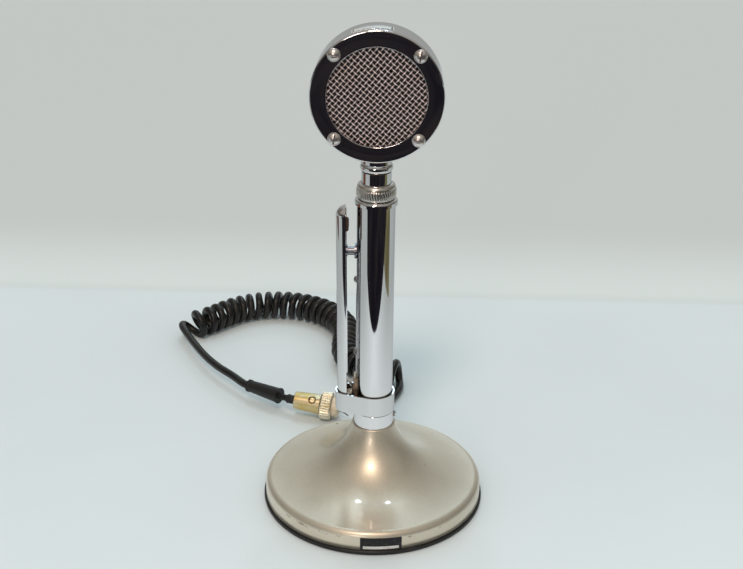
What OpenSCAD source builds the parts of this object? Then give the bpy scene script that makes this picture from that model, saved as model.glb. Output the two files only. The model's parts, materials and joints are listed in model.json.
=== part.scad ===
// Desk microphone with a round crystal head on a grip-to-talk stand and a curly cord.
// Millimetres, +Z up, the front faces -Y, the grip bar is on the -X side.
// The origin is on the table, under the stem.

/* [Base] */
// Diameter of the cast base at its upright wall
base_d = 134.2; // [130:0.2:136]
// How far the rubber foot ring stands out past the wall
foot_overhang = 1.1; // [0.6:0.1:1.6]
// Width of the rubber foot ring, from its outer to its inner edge
foot_width = 12.2; // [10:0.1:14]
// Thickness of the rubber foot ring
foot_t = 3; // [2:0.25:4]
// Height of the upright wall above the rubber
base_wall_h = 7.4; // [6:0.2:9]
// Radius of the rounded shoulder above the wall
shoulder_r = 4.5; // [3.5:0.1:5.5]
// Height of the flat top of the base, where the stem collar stands
base_top = 50.8; // [47:0.2:54]
// Radius of the flared neck of the base at its top
base_neck_r = 13.2; // [12.6:0.1:14]
// Wall thickness of the casting
casting_wall = 4.2; // [3.5:0.1:4.8]
// Depth of the solid hub under the top of the base
hub_depth = 17.8; // [15:0.2:20]
// How far the gentle slope reaches in from the shoulder
flare_reach = 21.4; // [18:0.2:24]
// Rise of that slope
flare_lift = 2.7; // [2:0.1:3.5]
// Sideways spread of the steep upper flare
flare_spread = 6.5; // [5:0.1:8]
// Height over which the steep upper flare fades out
flare_drop = 23.6; // [21:0.2:26]
// Distance of the edge of the bottom plate inside the wall of the base
plate_inset = 8.1; // [7:0.1:9.5]
// Thickness of the bottom plate
plate_t = 1.5; // [1:0.1:2]
// Distance of the bottom plate screws inside the wall of the base
plate_screw_inset = 18.1; // [17:0.1:20]

/* [Stem] */
// Outside diameter of the chromed grip tube
tube_d = 22.2; // [21.6:0.1:22.6]
// Wall thickness of the grip tube
tube_wall = 1.1; // [0.9:0.05:1.3]
// Height of the top end of the grip tube
tube_top = 192.9; // [188:0.1:197]
// Outside diameter of the stem collar
collar_d = 24.6; // [24.4:0.1:25.2]
// Height of the stem collar above the base
collar_h = 9.2; // [8.6:0.1:9.4]
// Depth of the seat in the collar for the tube
collar_seat = 7.2; // [6:0.1:8]
// Diameter of the threaded spigot under the collar
spigot_d = 16; // [14.5:0.25:17]
// Bore through the collar and spigot for the cable
cable_bore_d = 11; // [9:0.25:12]
// Thickness of the nut under the hub
stem_nut_t = 6; // [5:0.25:8]
// Thickness of the washer under the hub
stem_washer_t = 1.2; // [1:0.1:2]

/* [Grip bar] */
// Radius of the half-round grip bar
bar_r = 6.35; // [6:0.05:6.7]
// Sheet thickness of the grip bar
bar_wall = 0.95; // [0.8:0.05:1.1]
// Distance from the stem axis to the back of the bar at the pivot
bar_out = 22.1; // [21.9:0.05:22.4]
// Depth of the channel from its back to its rim
bar_depth = 5.8; // [5.4:0.1:6.1]
// Height of the lower end of the bar
bar_bottom = 61; // [60.6:0.1:62]
// Height of the rounded top of the bar
bar_top = 191.4; // [186:0.2:196]
// Outward lean of the bar at rest, in degrees
bar_lean = 0.45; // [0.3:0.05:0.5]
// Full squeeze of the bar, in degrees
bar_travel = 2; // [1.5:0.1:2]
// Distance of the pivot pin from the stem axis
pivot_out = 15.2; // [15:0.05:15.4]
// Height of the pivot pin
pivot_z = 66; // [65.5:0.1:66.5]
// Diameter of the pivot pin
pivot_d = 2.4; // [2:0.1:2.6]
// Height of the middle of the rubber bumper
bumper_z = 179.6; // [176:0.2:181]
// Diameter of the rubber bumper
bumper_d = 8.4; // [7:0.1:9]
// Free gap between the bumper and the tube
bumper_gap = 4.5; // [4.4:0.05:4.7]

/* [Lock band] */
// Height of the loose band round the tube and bar
band_h = 12.2; // [10:0.1:13]
// Sheet thickness of the band
band_t = 0.9; // [0.7:0.05:1.2]
// Clearance of the band round the tube
band_gap = 0.5; // [0.35:0.05:0.7]
// Clearance of the band behind the bar
band_bar_gap = 0.45; // [0.4:0.05:0.7]

/* [Switch] */
// Height of the plunger
plunger_z = 163.3; // [161:0.1:165]
// Diameter of the plunger stem
plunger_d = 5; // [4:0.1:5.4]
// Diameter of the plunger flange
plunger_flange_d = 7; // [6.6:0.1:8]
// Distance of the flange face from the stem axis
plunger_out = 16.2; // [16:0.05:16.5]
// Height of the lower switch screw
switch_screw_low = 98.4; // [96:0.2:100]
// Height of the upper switch screw
switch_screw_high = 145.4; // [143:0.2:147]
// Height at which the moving blade leaves its clamp
blade_root_z = 120; // [119:0.2:121]
// Height of the make contacts
make_z = 170; // [169.5:0.1:171]
// Height of the rest contacts
rest_z = 151; // [150:0.1:152]
// Thickness of the contact blades
blade_t = 0.4; // [0.3:0.05:0.45]
// Width of the contact blades
blade_w = 6; // [5:0.1:6.4]

/* [Cap and coupling] */
// Diameter of the lip that covers the end of the tube
lip_d = 24.6; // [24:0.1:25.4]
// Height of the lip
lip_h = 3.3; // [3:0.1:4]
// Diameter of the threaded boss above the lip
boss_d = 18.6; // [18:0.1:18.8]
// Height of the threaded boss
boss_h = 6.8; // [6.4:0.1:7.4]
// Outside diameter of the knurled coupling nut
nut_d = 22; // [21.4:0.1:22.6]
// Depth of the knurling
knurl_depth = 0.3; // [0.2:0.05:0.4]
// Number of ridges round the coupling nut
nut_ridges = 48; // [36:1:60]
// Diameter of the contact pins
pin_d = 1.6; // [1.4:0.05:1.8]
// Circle on which the three contact pins stand
pin_circle = 8; // [7:0.1:8.4]

/* [Head] */
// Height of the centre of the head
head_z = 257.2; // [255.4:0.2:259]
// Outside diameter of the head
head_d = 73; // [72:0.2:75]
// Front face of the bezel, ahead of the stem axis
head_front = 14.3; // [13.8:0.1:15]
// Back of the head, behind the stem axis
head_back = 14; // [13.6:0.1:15.5]
// Wall thickness of the head shell
shell_wall = 1.6; // [1.3:0.1:1.9]
// Radius of the rounded back edge
back_edge_r = 8; // [6:0.25:8.5]
// Thickness of the bezel ring
bezel_t = 3.3; // [3:0.1:3.8]
// Diameter of the opening in the bezel
bezel_opening_d = 54.8; // [53.6:0.2:55.4]
// Circle on which the four bezel screws stand
bezel_screw_circle = 65; // [64.6:0.1:65.2]
// Diameter of the round screw heads
bezel_screw_head_d = 7.5; // [6.5:0.1:7.8]
// Height of the round screw heads
bezel_screw_head_h = 2.3; // [1.8:0.1:2.6]
// Outside diameter of the neck sleeve
neck_d = 17; // [16.6:0.1:17.4]
// Diameter of the bead on the neck
bead_d = 18.7; // [18.2:0.1:19]
// Height of the lower edge of the bead
bead_z = 211.9; // [210.5:0.1:212.5]
// Diameter of the crystal cartridge
cartridge_d = 52; // [50:0.5:53]
// Depth of the crystal cartridge
cartridge_h = 11.4; // [10:0.1:12.5]

/* [Grille] */
// Spacing of the woven wires
mesh_pitch = 2.15; // [2.1:0.05:2.4]
// Thickness of the woven wires
mesh_wire = 0.6; // [0.5:0.02:0.7]
// How far the middle of the mesh bulges forward
mesh_bulge = 1.3; // [0.8:0.1:1.6]
// Turn of the weave in its ring, in degrees
mesh_turn = 43; // [30:1:60]

/* [Cord and plug] */
// Diameter of the cord
cord_d = 5.6; // [5.2:0.05:5.7]
// Outside diameter of the curls
curl_d = 22; // [21.4:0.1:22.2]
// Number of curls
curls = 32; // [28:1:32]
// Height of the cord exit at the back of the base
cord_exit_z = 8.4; // [8.2:0.1:8.8]
// Length of the plug barrel
barrel_len = 18.8; // [17:0.1:21]
// Diameter of the plug barrel at its back
barrel_d = 12.2; // [11.6:0.1:13]
// Diameter of the plug barrel at its front
barrel_front_d = 14.2; // [13:0.1:15]
// Length of the knurled plug ring
ring_len = 8; // [7:0.1:9.5]
// Diameter of the knurled plug ring
ring_d = 19.3; // [18.6:0.1:20]
// Number of ridges round the plug ring
ring_ridges = 30; // [24:1:36]

/* [Hidden] */
$fn = 72;

// Clearances: a running fit, a seat on one body, and the gap between bodies
run_gap = 0.05;
seat_gap = 0.05;
body_gap = 0.3;
// A cut reaches this far past the face that it opens
cut = 1;

// Base
base_r = base_d / 2;
foot_r = base_r + foot_overhang;
foot_inner_r = foot_r - foot_width;
plate_r = base_r - plate_inset;
plate_screw_r_out = base_r - plate_screw_inset;
wall_top = foot_t + base_wall_h;
shoulder_a = 90 - atan2(flare_lift, flare_reach);
flare_start = [base_r - shoulder_r + shoulder_r * cos(shoulder_a),
    wall_top + shoulder_r * sin(shoulder_a)];
flare_end = [base_neck_r, base_top];
flare = [flare_start, flare_start + [-flare_reach, flare_lift],
    flare_end + [flare_spread, -flare_drop], flare_end];
flare_steps = 20;
hub_z = base_top - hub_depth;
hub_bore_r = spigot_d / 2 + 0.1;
plate_top = foot_t + plate_t;
plate_screws = 3;
plate_screw_r = 1.7;
plate_boss_r = 4;
plate_boss_top = flare_start[1] + 0.8;
grommet_r = 4.3;
grommet_flange_r = 5.1;
grommet_flange_t = 1.6;
casting_inner_r = base_r - casting_wall;

// Stem
tube_r = tube_d / 2;
tube_inner_r = tube_r - tube_wall;
collar_r = collar_d / 2;
collar_top = base_top + collar_h;
tube_bottom = collar_top - collar_seat;
set_screw_z = base_top + 5.5;
washer_bottom = hub_z - stem_washer_t;
nut_bottom = washer_bottom - stem_nut_t;
spigot_bottom = nut_bottom - 2;

// Grip bar and hinge, drawn upright and then leaned about the pivot
bar_x = -(bar_out - bar_r);
bar_rim = -(bar_out - bar_depth);
bar_back = -(bar_out - bar_wall);
bar_inner_r = bar_r - bar_wall;
pivot_x = -pivot_out;
pivot_r = pivot_d / 2;
block_w = 6.6;
block_top = pivot_z + 4.8;
block_face = pivot_x + pivot_r + 0.8;
ear_t = 1;
ear_gap = 0.25;
ear_in = block_w / 2 + ear_gap;
ear_out = ear_in + ear_t;
ear_r = pivot_r + 1.1;
saddle_t = 1.2;
saddle_x = -(tube_r + saddle_t);
bracket_bottom = collar_top + body_gap;
bracket_top = 82;
bracket_screw_z = [bracket_bottom + 3, bracket_top - 3.6];
bracket_screw_r = 1.1;
bracket_head_r = 1.7;
bracket_head_h = 0.8;
spring_t = 0.45;
spring_w = 4.6;
spring_foot_w = 6;
spring_foot_t = 1;
spring_root_z = 74.2;
spring_knee_z = 85.6;
spring_tip_z = 88.6;
bumper_x = -(tube_r + bumper_gap);

// Lock band
band_bottom = collar_top + 0.15;
band_inner_r = tube_r + band_gap;
band_small_r = bar_r + 0.3;
band_small_x = -(bar_out + band_bar_gap - band_small_r);

// Switch stack, counted from the tube wall towards the middle
plunger_r = plunger_d / 2;
plunger_throw = (plunger_z - pivot_z) * bar_travel * PI / 180;
bushing_r = plunger_r + run_gap + 0.95;
bracket_face = -8.9;
insulator_t = 1.2;
pad_t = 0.7;
rest_blade_x = bracket_face + pad_t;
moving_blade_x = rest_blade_x + blade_t + insulator_t;
blade_angle = asin(plunger_throw / (plunger_z - blade_root_z));
make_throw = (make_z - blade_root_z) * sin(blade_angle);
rivet_r = 1.5;
rivet_h = 0.6;
contact_gap = 0.2;
make_blade_x = moving_blade_x + blade_t + rivet_h + make_throw + contact_gap + rivet_h;
clamp_x = make_blade_x + blade_t + insulator_t;
clamp_t = 1.5;
stack_bottom = 101.5;
stack_top = blade_root_z;
stack_w = 7;
stack_screw_z = [stack_bottom + 4.5, stack_top - 4.5];
stack_screw_r = 1.1;
switch_screw_r = 1.5;
plunger_tip = moving_blade_x - 0.25;

// Cap, nut and neck
lip_top = tube_top + lip_h;
boss_top = lip_top + boss_h;
cap_bore_r = 6.6;
insert_r = boss_d / 2 - 1.85;
insert_z = lip_top + 1.1;
pins = 3;
pin_r = pin_d / 2;
contact_r = pin_r + 0.65;
flange_r = boss_d / 2;
flange_z = boss_top + 0.1;
flange_t = 0.9;
nut_r = nut_d / 2;
nut_bottom_z = lip_top + 0.2;
nut_inner_r = boss_d / 2 + body_gap;
nut_cavity_top = flange_z + flange_t + 0.15;
nut_top = nut_cavity_top + 1.2;
neck_r = neck_d / 2;
neck_bore_r = neck_r - 1.5;
bead_h = 5.6;
neck_spigot_r = neck_r - 1.1;
neck_shoulder_r = neck_r + 0.2;

// Head
head_r = head_d / 2;
bezel_back = -head_front + bezel_t;
lug_r = 3.1;
bezel_screw_r = 1.5;
bezel_screw_pitch_r = bezel_screw_circle / 2;
ledge_y = bezel_back + 2.8;
ledge_t = 1.4;
ledge_r = cartridge_d / 2 + 1.2;
rim_r = bezel_opening_d / 2 + 1.8;
rim_inner_r = bezel_opening_d / 2 + 0.4;
rebate_r = rim_r + 0.3;
rebate_depth = 1.5;
cartridge_flange_r = bezel_screw_pitch_r - lug_r - 0.4;
cartridge_flange_t = 1.2;
case_r = cartridge_d / 2;
case_front = ledge_y - cartridge_flange_t;
case_back = case_front + cartridge_h;
case_wall = 1.2;
case_floor = case_back - case_wall;
cover_t = 0.6;
cover_r = case_r - 0.5;
diaphragm_y = case_front + cover_t + 0.1;
crystal_size = 20;
crystal_t = 1.4;
crystal_y = case_floor - 2.1 - crystal_t;
drive_pin_r = 0.8;
diaphragm_depth = crystal_y - diaphragm_y - 1.6;
pad_size = 4;

// Curly cord: the axis of the curls runs round two bends on the table.
// Bend one turns right to left behind the stem, bend two goes round to the far left.
cord_r = cord_d / 2;
curl_r = (curl_d - cord_d) / 2;
curl_z = curl_d / 2 + 0.1;
bend_one_c = [15.4, 177.4];
bend_one_r = 42.4;
bend_two_c = [-84, 194];
bend_two_r = 57;
bend_two_turn = 139;
run_one = 16.6;
run_two = 28.5;
// The last curls lean outwards at their tops
lean_curls = 2;
lean_top = 8;
lean_dir = [-0.95, -0.3, 0];
arc_one = bend_one_r * PI / 2;
arc_two = bend_two_r * PI * bend_two_turn / 180;
axis_len = arc_one + run_one + arc_two + run_two;
curl_pitch = axis_len / curls;
curl_rings = 8;
curl_sides = 6;

// Straight stretches of the cord: the lead lies down on the table, and the tail arches over it
cord_sides = 10;
grommet_face = base_r + 0.1 + grommet_flange_t;
lead_points = [[0, 76, 8.2], [0.3, 84, 6.6], [1.8, 94, 4.2], [4.6, 104, 3.1], [9.3, 114, 2.9]];
tail_points = [[-154.5, 218, 4.8], [-158, 221.3, 6.5], [-161.2, 220.8, 8],
    [-160.4, 213.8, 8.6], [-156.3, 203.4, 9], [-148.3, 186.2, 9.8], [-138.9, 168.4, 10.5],
    [-130.1, 153.6, 11], [-119, 138.5, 11.3], [-107, 125.7, 11.4]];
sleeve_a = [-93.3, 111.9, 11.2];
sleeve_b = [-69.3, 97.3, 11.4];
sleeve_r1 = 4.2;
sleeve_r2 = 5.7;

// The plug lies on its ring, and the stiff tail holds up the back of its barrel
plug_at = [-57.9, 91.2, 11.95];
plug_turn = -8.8;
plug_tilt = -4.7;
barrel_r = barrel_d / 2;
barrel_front_r = barrel_front_d / 2;
ring_r = ring_d / 2;
// Where the cable screw sits round the barrel, from the top towards the front
plug_screw_turn = 41;
plug_screw_r = 2.2;

// A point and the heading of the axis of the curls at the length s along it
function bend_point(c, r, a) = [c[0] + r * cos(a), c[1] + r * sin(a)];
function axis_point(s) =
    s < arc_one ? bend_point(bend_one_c, bend_one_r, 270 - s / bend_one_r * 180 / PI)
    : s < arc_one + run_one ? bend_point(bend_one_c, bend_one_r, 180) + [0, s - arc_one]
    : s < arc_one + run_one + arc_two
        ? bend_point(bend_two_c, bend_two_r, (s - arc_one - run_one) / bend_two_r * 180 / PI)
    : bend_point(bend_two_c, bend_two_r, bend_two_turn)
        + (s - arc_one - run_one - arc_two) * heading(bend_two_turn + 90);
function heading(a) = [cos(a), sin(a)];
function axis_heading(s) =
    s < arc_one ? heading(180 - s / bend_one_r * 180 / PI)
    : s < arc_one + run_one ? heading(90)
    : s < arc_one + run_one + arc_two
        ? heading(90 + (s - arc_one - run_one) / bend_two_r * 180 / PI)
    : heading(90 + bend_two_turn);

// A point of the cord's centre line in the curls, k rings from the start of a turn of n rings
function curl_point(k, n) =
    let (s = k / n * curl_pitch, p = axis_point(s), t = axis_heading(s), a = -90 - 360 * k / n,
        lean = lean_top * pow(max(0, 1 - (curls - k / n) / lean_curls), 2))
    [p[0] - t[1] * curl_r * cos(a), p[1] + t[0] * curl_r * cos(a), curl_z + curl_r * sin(a)]
        + lean * (1 + sin(a)) / 2 * lean_dir;

function unit(v) = v / norm(v);
curl_steps = curls * curl_rings;
curl_first = curl_point(0, curl_rings);
curl_last = curl_point(curl_steps, curl_rings);
// Direction of the cord where it enters and leaves the curls
curl_in = unit(let (d = curl_point(0.02, curl_rings) - curl_first) [d[0], d[1], 0]);
curl_out = unit(let (d = curl_last - curl_point(curl_steps - 0.02, curl_rings)) [d[0], d[1], 0]);
curl_path = concat([curl_first - cord_d * curl_in],
    [for (k = [0 : curl_steps]) curl_point(k, curl_rings)],
    [curl_last + cord_d * curl_out]);

// Least gap between neighbouring turns, measured on points of the centre line
gap_rings = 24;
curl_gap = min([for (i = [0 : curls * gap_rings - gap_rings])
    let (p = curl_point(i, gap_rings))
    min([for (j = [14 : 2 : 34]) if (i + j <= curls * gap_rings)
        norm(p - curl_point(i + j, gap_rings))])]) - cord_d;
echo(least_gap_between_curls = curl_gap);

// Polyhedron swept along points. Each ring stands square to the path there.
function path_dir(p, i) = unit(i == 0 ? p[1] - p[0]
    : i == len(p) - 1 ? p[i] - p[i - 1] : unit(p[i + 1] - p[i]) + unit(p[i] - p[i - 1]));
function ring_at(c, d, r, n, up) =
    let (u = unit(up - (up * d) * d), v = cross(u, d))
    [for (k = [0 : n - 1]) c + r * (cos(360 * k / n) * u + sin(360 * k / n) * v)];
function tube_faces(m, n) = concat(
    [for (k = [1 : n - 2]) [0, k + 1, k]],
    [for (i = [0 : m - 2]) for (k = [0 : n - 1]) let (a = i * n, b = a + n, l = (k + 1) % n)
        each [[a + k, a + l, b + k], [a + l, b + l, b + k]]],
    [for (k = [1 : n - 2]) let (e = (m - 1) * n) [e, e + k, e + k + 1]]);

module swept_tube(path, r, n, up) {
    points = [for (i = [0 : len(path) - 1]) each ring_at(path[i], path_dir(path, i), r, n, up)];
    polyhedron(points, tube_faces(len(path), n), convexity = 10);
}

// Tube of the curly cord, whose rings keep one vertex turned outwards from the axis
module curl_tube() {
    m = len(curl_path);
    points = [for (i = [0 : m - 1])
        let (s = max(0, min(axis_len, (i - 1) / curl_rings * curl_pitch)), p = axis_point(s))
        each ring_at(curl_path[i], path_dir(curl_path, i), cord_r, curl_sides,
            curl_path[i] - [p[0], p[1], curl_z])];
    polyhedron(points, tube_faces(m, curl_sides), convexity = 20);
}

// Smooth path through hand-chosen points, with a number of steps between two points
function spline(p, i, t) =
    let (a = p[max(i - 1, 0)], b = p[i], c = p[i + 1], d = p[min(i + 2, len(p) - 1)])
    0.5 * (2 * b + t * (c - a) + t * t * (2 * a - 5 * b + 4 * c - d)
        + t * t * t * (3 * b - a - 3 * c + d));
function smooth(p, steps) = concat(
    [for (i = [0 : len(p) - 2]) for (j = [0 : steps - 1]) spline(p, i, j / steps)],
    [p[len(p) - 1]]);

// Turned part whose outline is given as radius and height, stood on the Z or the Y axis
module turned(outline) {
    rotate_extrude() polygon(outline);
}
module facing(z = head_z) {
    translate([0, 0, z]) rotate([-90, 0, 0]) children();
}
module disc_y(r, y1, y2, x = 0, z = 0) {
    translate([x, y1, z]) rotate([-90, 0, 0]) cylinder(r = r, h = y2 - y1);
}
module rod_x(r, x1, x2, z, y = 0) {
    translate([x1, y, z]) rotate([0, 90, 0]) cylinder(r = r, h = x2 - x1);
}
// Ring of straight ridges, as used on the nut and on the plug
module knurled(r, depth, ridges, h) {
    linear_extrude(height = h) polygon([for (k = [0 : 2 * ridges - 1])
        let (q = k % 2 == 0 ? r : r - depth) q * heading(180 * k / ridges)]);
}
// Round screw head with a slot, standing on z = 0
module round_head(r, h, slot_w, turn = 0) {
    ball = (r * r + h * h) / (2 * h);
    difference() {
        intersection() {
            translate([0, 0, h - ball]) sphere(r = ball);
            cylinder(r = r, h = h + cut);
        }
        rotate([0, 0, turn]) translate([-r - cut, -slot_w / 2, h * 0.55])
            cube([2 * r + 2 * cut, slot_w, h]);
    }
}

// Outline of the base: the upright wall, the round shoulder and the flared top
function bezier(p, t) = pow(1 - t, 3) * p[0] + 3 * pow(1 - t, 2) * t * p[1]
    + 3 * (1 - t) * t * t * p[2] + pow(t, 3) * p[3];
function bezier_dir(p, t) = pow(1 - t, 2) * (p[1] - p[0]) + 2 * (1 - t) * t * (p[2] - p[1])
    + t * t * (p[3] - p[2]);
function flare_point(t, inset) = let (d = unit(bezier_dir(flare, t)))
    bezier(flare, t) - inset * [d[1], -d[0]];
module base_profile(inset) {
    c = [base_r - shoulder_r, wall_top];
    q = shoulder_r - inset;
    polygon(concat([[0, foot_t], [base_r - inset, foot_t]],
        [for (a = [0 : 6]) c + q * heading(a * shoulder_a / 6)],
        [for (i = [1 : flare_steps]) flare_point(i / flare_steps, inset)],
        [[0, base_top]]));
}
module base_casting() {
    color([0.66, 0.62, 0.55]) difference() {
        union() {
            rotate_extrude() difference() {
                base_profile(0);
                intersection() {
                    base_profile(casting_wall);
                    translate([0, foot_t - cut]) square([base_r, hub_z - foot_t + cut]);
                }
                translate([0, foot_t - cut]) square([casting_inner_r, cut + 0.01]);
            }
            for (k = [0 : plate_screws - 1]) rotate([0, 0, 90 + 60 + 120 * k])
                translate([plate_screw_r_out, 0, plate_top])
                    cylinder(r = plate_boss_r, h = plate_boss_top - plate_top);
        }
        translate([0, 0, hub_z - cut]) cylinder(r = hub_bore_r, h = hub_depth + 2 * cut);
        for (k = [0 : plate_screws - 1]) rotate([0, 0, 90 + 60 + 120 * k])
            translate([plate_screw_r_out, 0, plate_top - cut])
                cylinder(r = plate_screw_r - 0.2, h = 8 + cut);
        disc_y(grommet_r + seat_gap, casting_inner_r - 6, base_r + 2, z = cord_exit_z);
        disc_y(grommet_flange_r - 0.2, casting_inner_r - 8, casting_inner_r - 0.38,
            z = cord_exit_z);
    }
}
module base_rubber() {
    color([0.08, 0.08, 0.08]) turned([[foot_inner_r, 0.4], [foot_inner_r + 0.4, 0],
        [foot_r - 0.8, 0], [foot_r, 0.8], [foot_r, foot_t - 0.6],
        [foot_r - 0.6, foot_t], [foot_inner_r, foot_t]]);
}
module base_plate() {
    color([0.55, 0.55, 0.56]) difference() {
        translate([0, 0, foot_t]) cylinder(r = plate_r, h = plate_t);
        for (k = [0 : plate_screws - 1]) rotate([0, 0, 90 + 60 + 120 * k])
            translate([plate_screw_r_out, 0, foot_t - cut])
                cylinder(r = plate_screw_r + 0.2, h = plate_t + 2 * cut);
    }
}
module base_plate_screws() {
    color([0.6, 0.6, 0.6]) for (k = [0 : plate_screws - 1]) rotate([0, 0, 90 + 60 + 120 * k])
        translate([plate_screw_r_out, 0, foot_t]) {
            rotate([180, 0, 0]) round_head(3.2, 1.6, 0.8);
            cylinder(r = plate_screw_r - 0.25, h = 8);
        }
}
module stem_washer() {
    color([0.7, 0.7, 0.7]) difference() {
        translate([0, 0, washer_bottom]) cylinder(r = spigot_d / 2 + 5, h = stem_washer_t);
        translate([0, 0, washer_bottom - cut])
            cylinder(r = hub_bore_r + 0.1, h = stem_washer_t + 2 * cut);
    }
}
module stem_nut() {
    color([0.7, 0.68, 0.6]) difference() {
        translate([0, 0, nut_bottom]) cylinder(r = spigot_d / 2 + 4.6, h = stem_nut_t, $fn = 6);
        translate([0, 0, nut_bottom - cut])
            cylinder(r = spigot_d / 2 + seat_gap, h = stem_nut_t + 2 * cut);
    }
}
// Rubber bush in the back wall, bored for the cord
module cord_grommet() {
    color([0.1, 0.1, 0.1]) translate([0, 0, cord_exit_z]) rotate([-90, 0, 0])
        turned([[cord_r, casting_inner_r - 1.8], [grommet_flange_r - 0.3, casting_inner_r - 1.8],
            [grommet_flange_r - 0.3, casting_inner_r - 0.4], [grommet_r, casting_inner_r - 0.4],
            [grommet_r, base_r + 0.1], [grommet_flange_r, base_r + 0.1],
            [grommet_flange_r - 0.6, grommet_face], [cord_r, grommet_face]]);
}
clamp_y = base_r - 23.1;
clamp_z = plate_top + 4.6;
// Saddle that holds the cable down on the bottom plate
module cord_clamp() {
    color([0.65, 0.65, 0.65]) difference() {
        union() {
            disc_y(cord_r + 1.3, clamp_y - 4, clamp_y + 4, z = clamp_z);
            translate([-cord_r - 1.3, clamp_y - 4, plate_top])
                cube([cord_d + 2.6, 8, clamp_z - plate_top]);
            translate([-cord_r - 6, clamp_y - 4, plate_top]) cube([cord_d + 12, 8, 1.2]);
        }
        disc_y(cord_r + seat_gap, clamp_y - 4 - cut, clamp_y + 4 + cut, z = clamp_z);
    }
}
inner_points = [[0, clamp_y + 12, cord_exit_z + 0.4], [0, clamp_y + 3, clamp_z],
    [0, clamp_y - 6, clamp_z], [0, 24, 11.6], [0, 11, 14.4], [1.2, 2.7, 20.8], [2, 0.8, 32],
    [2.4, 0, 46], [3.5, 0, 60], [4.6, 0, 78], [4.6, 0, 92]];
inner_cable_r = cord_r - 0.2;
module inner_cable() {
    path = smooth(concat([[0, grommet_face - 0.02, cord_exit_z],
        [0, casting_inner_r - 2, cord_exit_z]], inner_points), 2);
    color([0.12, 0.12, 0.12]) swept_tube(path, inner_cable_r, 8, [1, 0, 0.001]);
}

// Collar that carries the tube and is bolted through the hub
module stem_collar() {
    color([0.86, 0.87, 0.88]) difference() {
        turned([[cable_bore_d / 2, spigot_bottom], [spigot_d / 2 - 0.8, spigot_bottom],
            [spigot_d / 2, spigot_bottom + 0.8], [spigot_d / 2, base_top], [collar_r, base_top],
            [collar_r, collar_top - 0.4], [collar_r - 0.4, collar_top],
            [tube_r + seat_gap, collar_top], [tube_r + seat_gap, tube_bottom],
            [cable_bore_d / 2, tube_bottom]]);
        rod_x(1.5, tube_r, collar_r + cut, set_screw_z);
    }
}
module collar_set_screw() {
    color([0.6, 0.58, 0.55]) union() {
        rod_x(1.45, tube_r + 0.02, collar_r + 0.1, set_screw_z);
        translate([collar_r + 0.1, 0, set_screw_z]) rotate([0, 90, 0])
            round_head(2.1, 1.2, 0.6, 30);
    }
}
module grip_tube() {
    color([0.88, 0.89, 0.9]) difference() {
        translate([0, 0, tube_bottom]) cylinder(r = tube_r, h = tube_top - tube_bottom);
        translate([0, 0, tube_bottom - cut])
            cylinder(r = tube_inner_r, h = tube_top - tube_bottom + 2 * cut);
        rod_x(bushing_r + seat_gap, -tube_r - cut, -tube_inner_r + 3, plunger_z);
        for (z = [switch_screw_low, switch_screw_high])
            rod_x(switch_screw_r + 0.1, -tube_r - cut, -tube_inner_r + 3, z);
        for (z = bracket_screw_z)
            rod_x(bracket_screw_r + 0.1, -tube_r - cut, -tube_inner_r + 3, z);
    }
}

// Hinge: a saddle on the tube with two ears, a pin, and a block riveted in the bar
module hinge_bracket() {
    reach = pivot_x - ear_r;
    color([0.62, 0.5, 0.38]) difference() {
        union() {
            translate([saddle_x, -ear_out, bracket_bottom])
                cube([saddle_t + 3, 2 * ear_out, bracket_top - bracket_bottom]);
            for (s = [-1, 1]) {
                translate([pivot_x, s > 0 ? ear_in : -ear_out, bracket_bottom])
                    cube([saddle_x - pivot_x + saddle_t, ear_t, pivot_z + ear_r - bracket_bottom]);
                disc_y(ear_r, s > 0 ? ear_in : -ear_out, s > 0 ? ear_out : -ear_in, pivot_x, pivot_z);
                translate([reach, s > 0 ? ear_in : -ear_out, bracket_bottom])
                    cube([pivot_x - reach, ear_t, pivot_z - bracket_bottom]);
            }
            translate([saddle_x - spring_foot_t, -spring_foot_w / 2, block_top + 0.6])
                cube([spring_foot_t + 0.1, spring_foot_w, spring_root_z - 0.15 - block_top - 0.6]);
        }
        translate([0, 0, bracket_bottom - cut]) cylinder(r = tube_r + 0.02, h = 40);
        disc_y(pivot_r + seat_gap, -ear_out - cut, ear_out + cut, pivot_x, pivot_z);
        for (z = bracket_screw_z) {
            rod_x(bracket_screw_r + 0.1, saddle_x - cut, -tube_inner_r, z);
            rod_x(bracket_head_r + 0.1, saddle_x - cut, saddle_x + bracket_head_h, z);
        }
    }
}
module bracket_screws() {
    color([0.6, 0.58, 0.52]) for (z = bracket_screw_z) difference() {
        union() {
            rod_x(bracket_screw_r, saddle_x + 0.1, -tube_inner_r + 0.8, z);
            rod_x(bracket_head_r, saddle_x, saddle_x + bracket_head_h, z);
        }
        translate([saddle_x - cut, -0.3, z - 3]) cube([cut + 0.4, 0.6, 6]);
    }
}
module pivot_pin() {
    color([0.75, 0.75, 0.74]) disc_y(pivot_r, -ear_out, ear_out, pivot_x, pivot_z);
}
module lean() {
    translate([pivot_x, 0, pivot_z]) rotate([0, -bar_lean, 0]) translate([-pivot_x, 0, -pivot_z])
        children();
}
module hinge_block() {
    low = bar_bottom + 0.4;
    color([0.55, 0.42, 0.3]) lean() difference() {
        intersection() {
            translate([bar_x, 0, low]) cylinder(r = bar_inner_r - 0.02, h = block_top - low);
            translate([bar_back, -block_w / 2, low])
                cube([block_face - bar_back, block_w, block_top - low]);
        }
        disc_y(pivot_r + run_gap, -block_w, block_w, pivot_x, pivot_z);
    }
}
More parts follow.
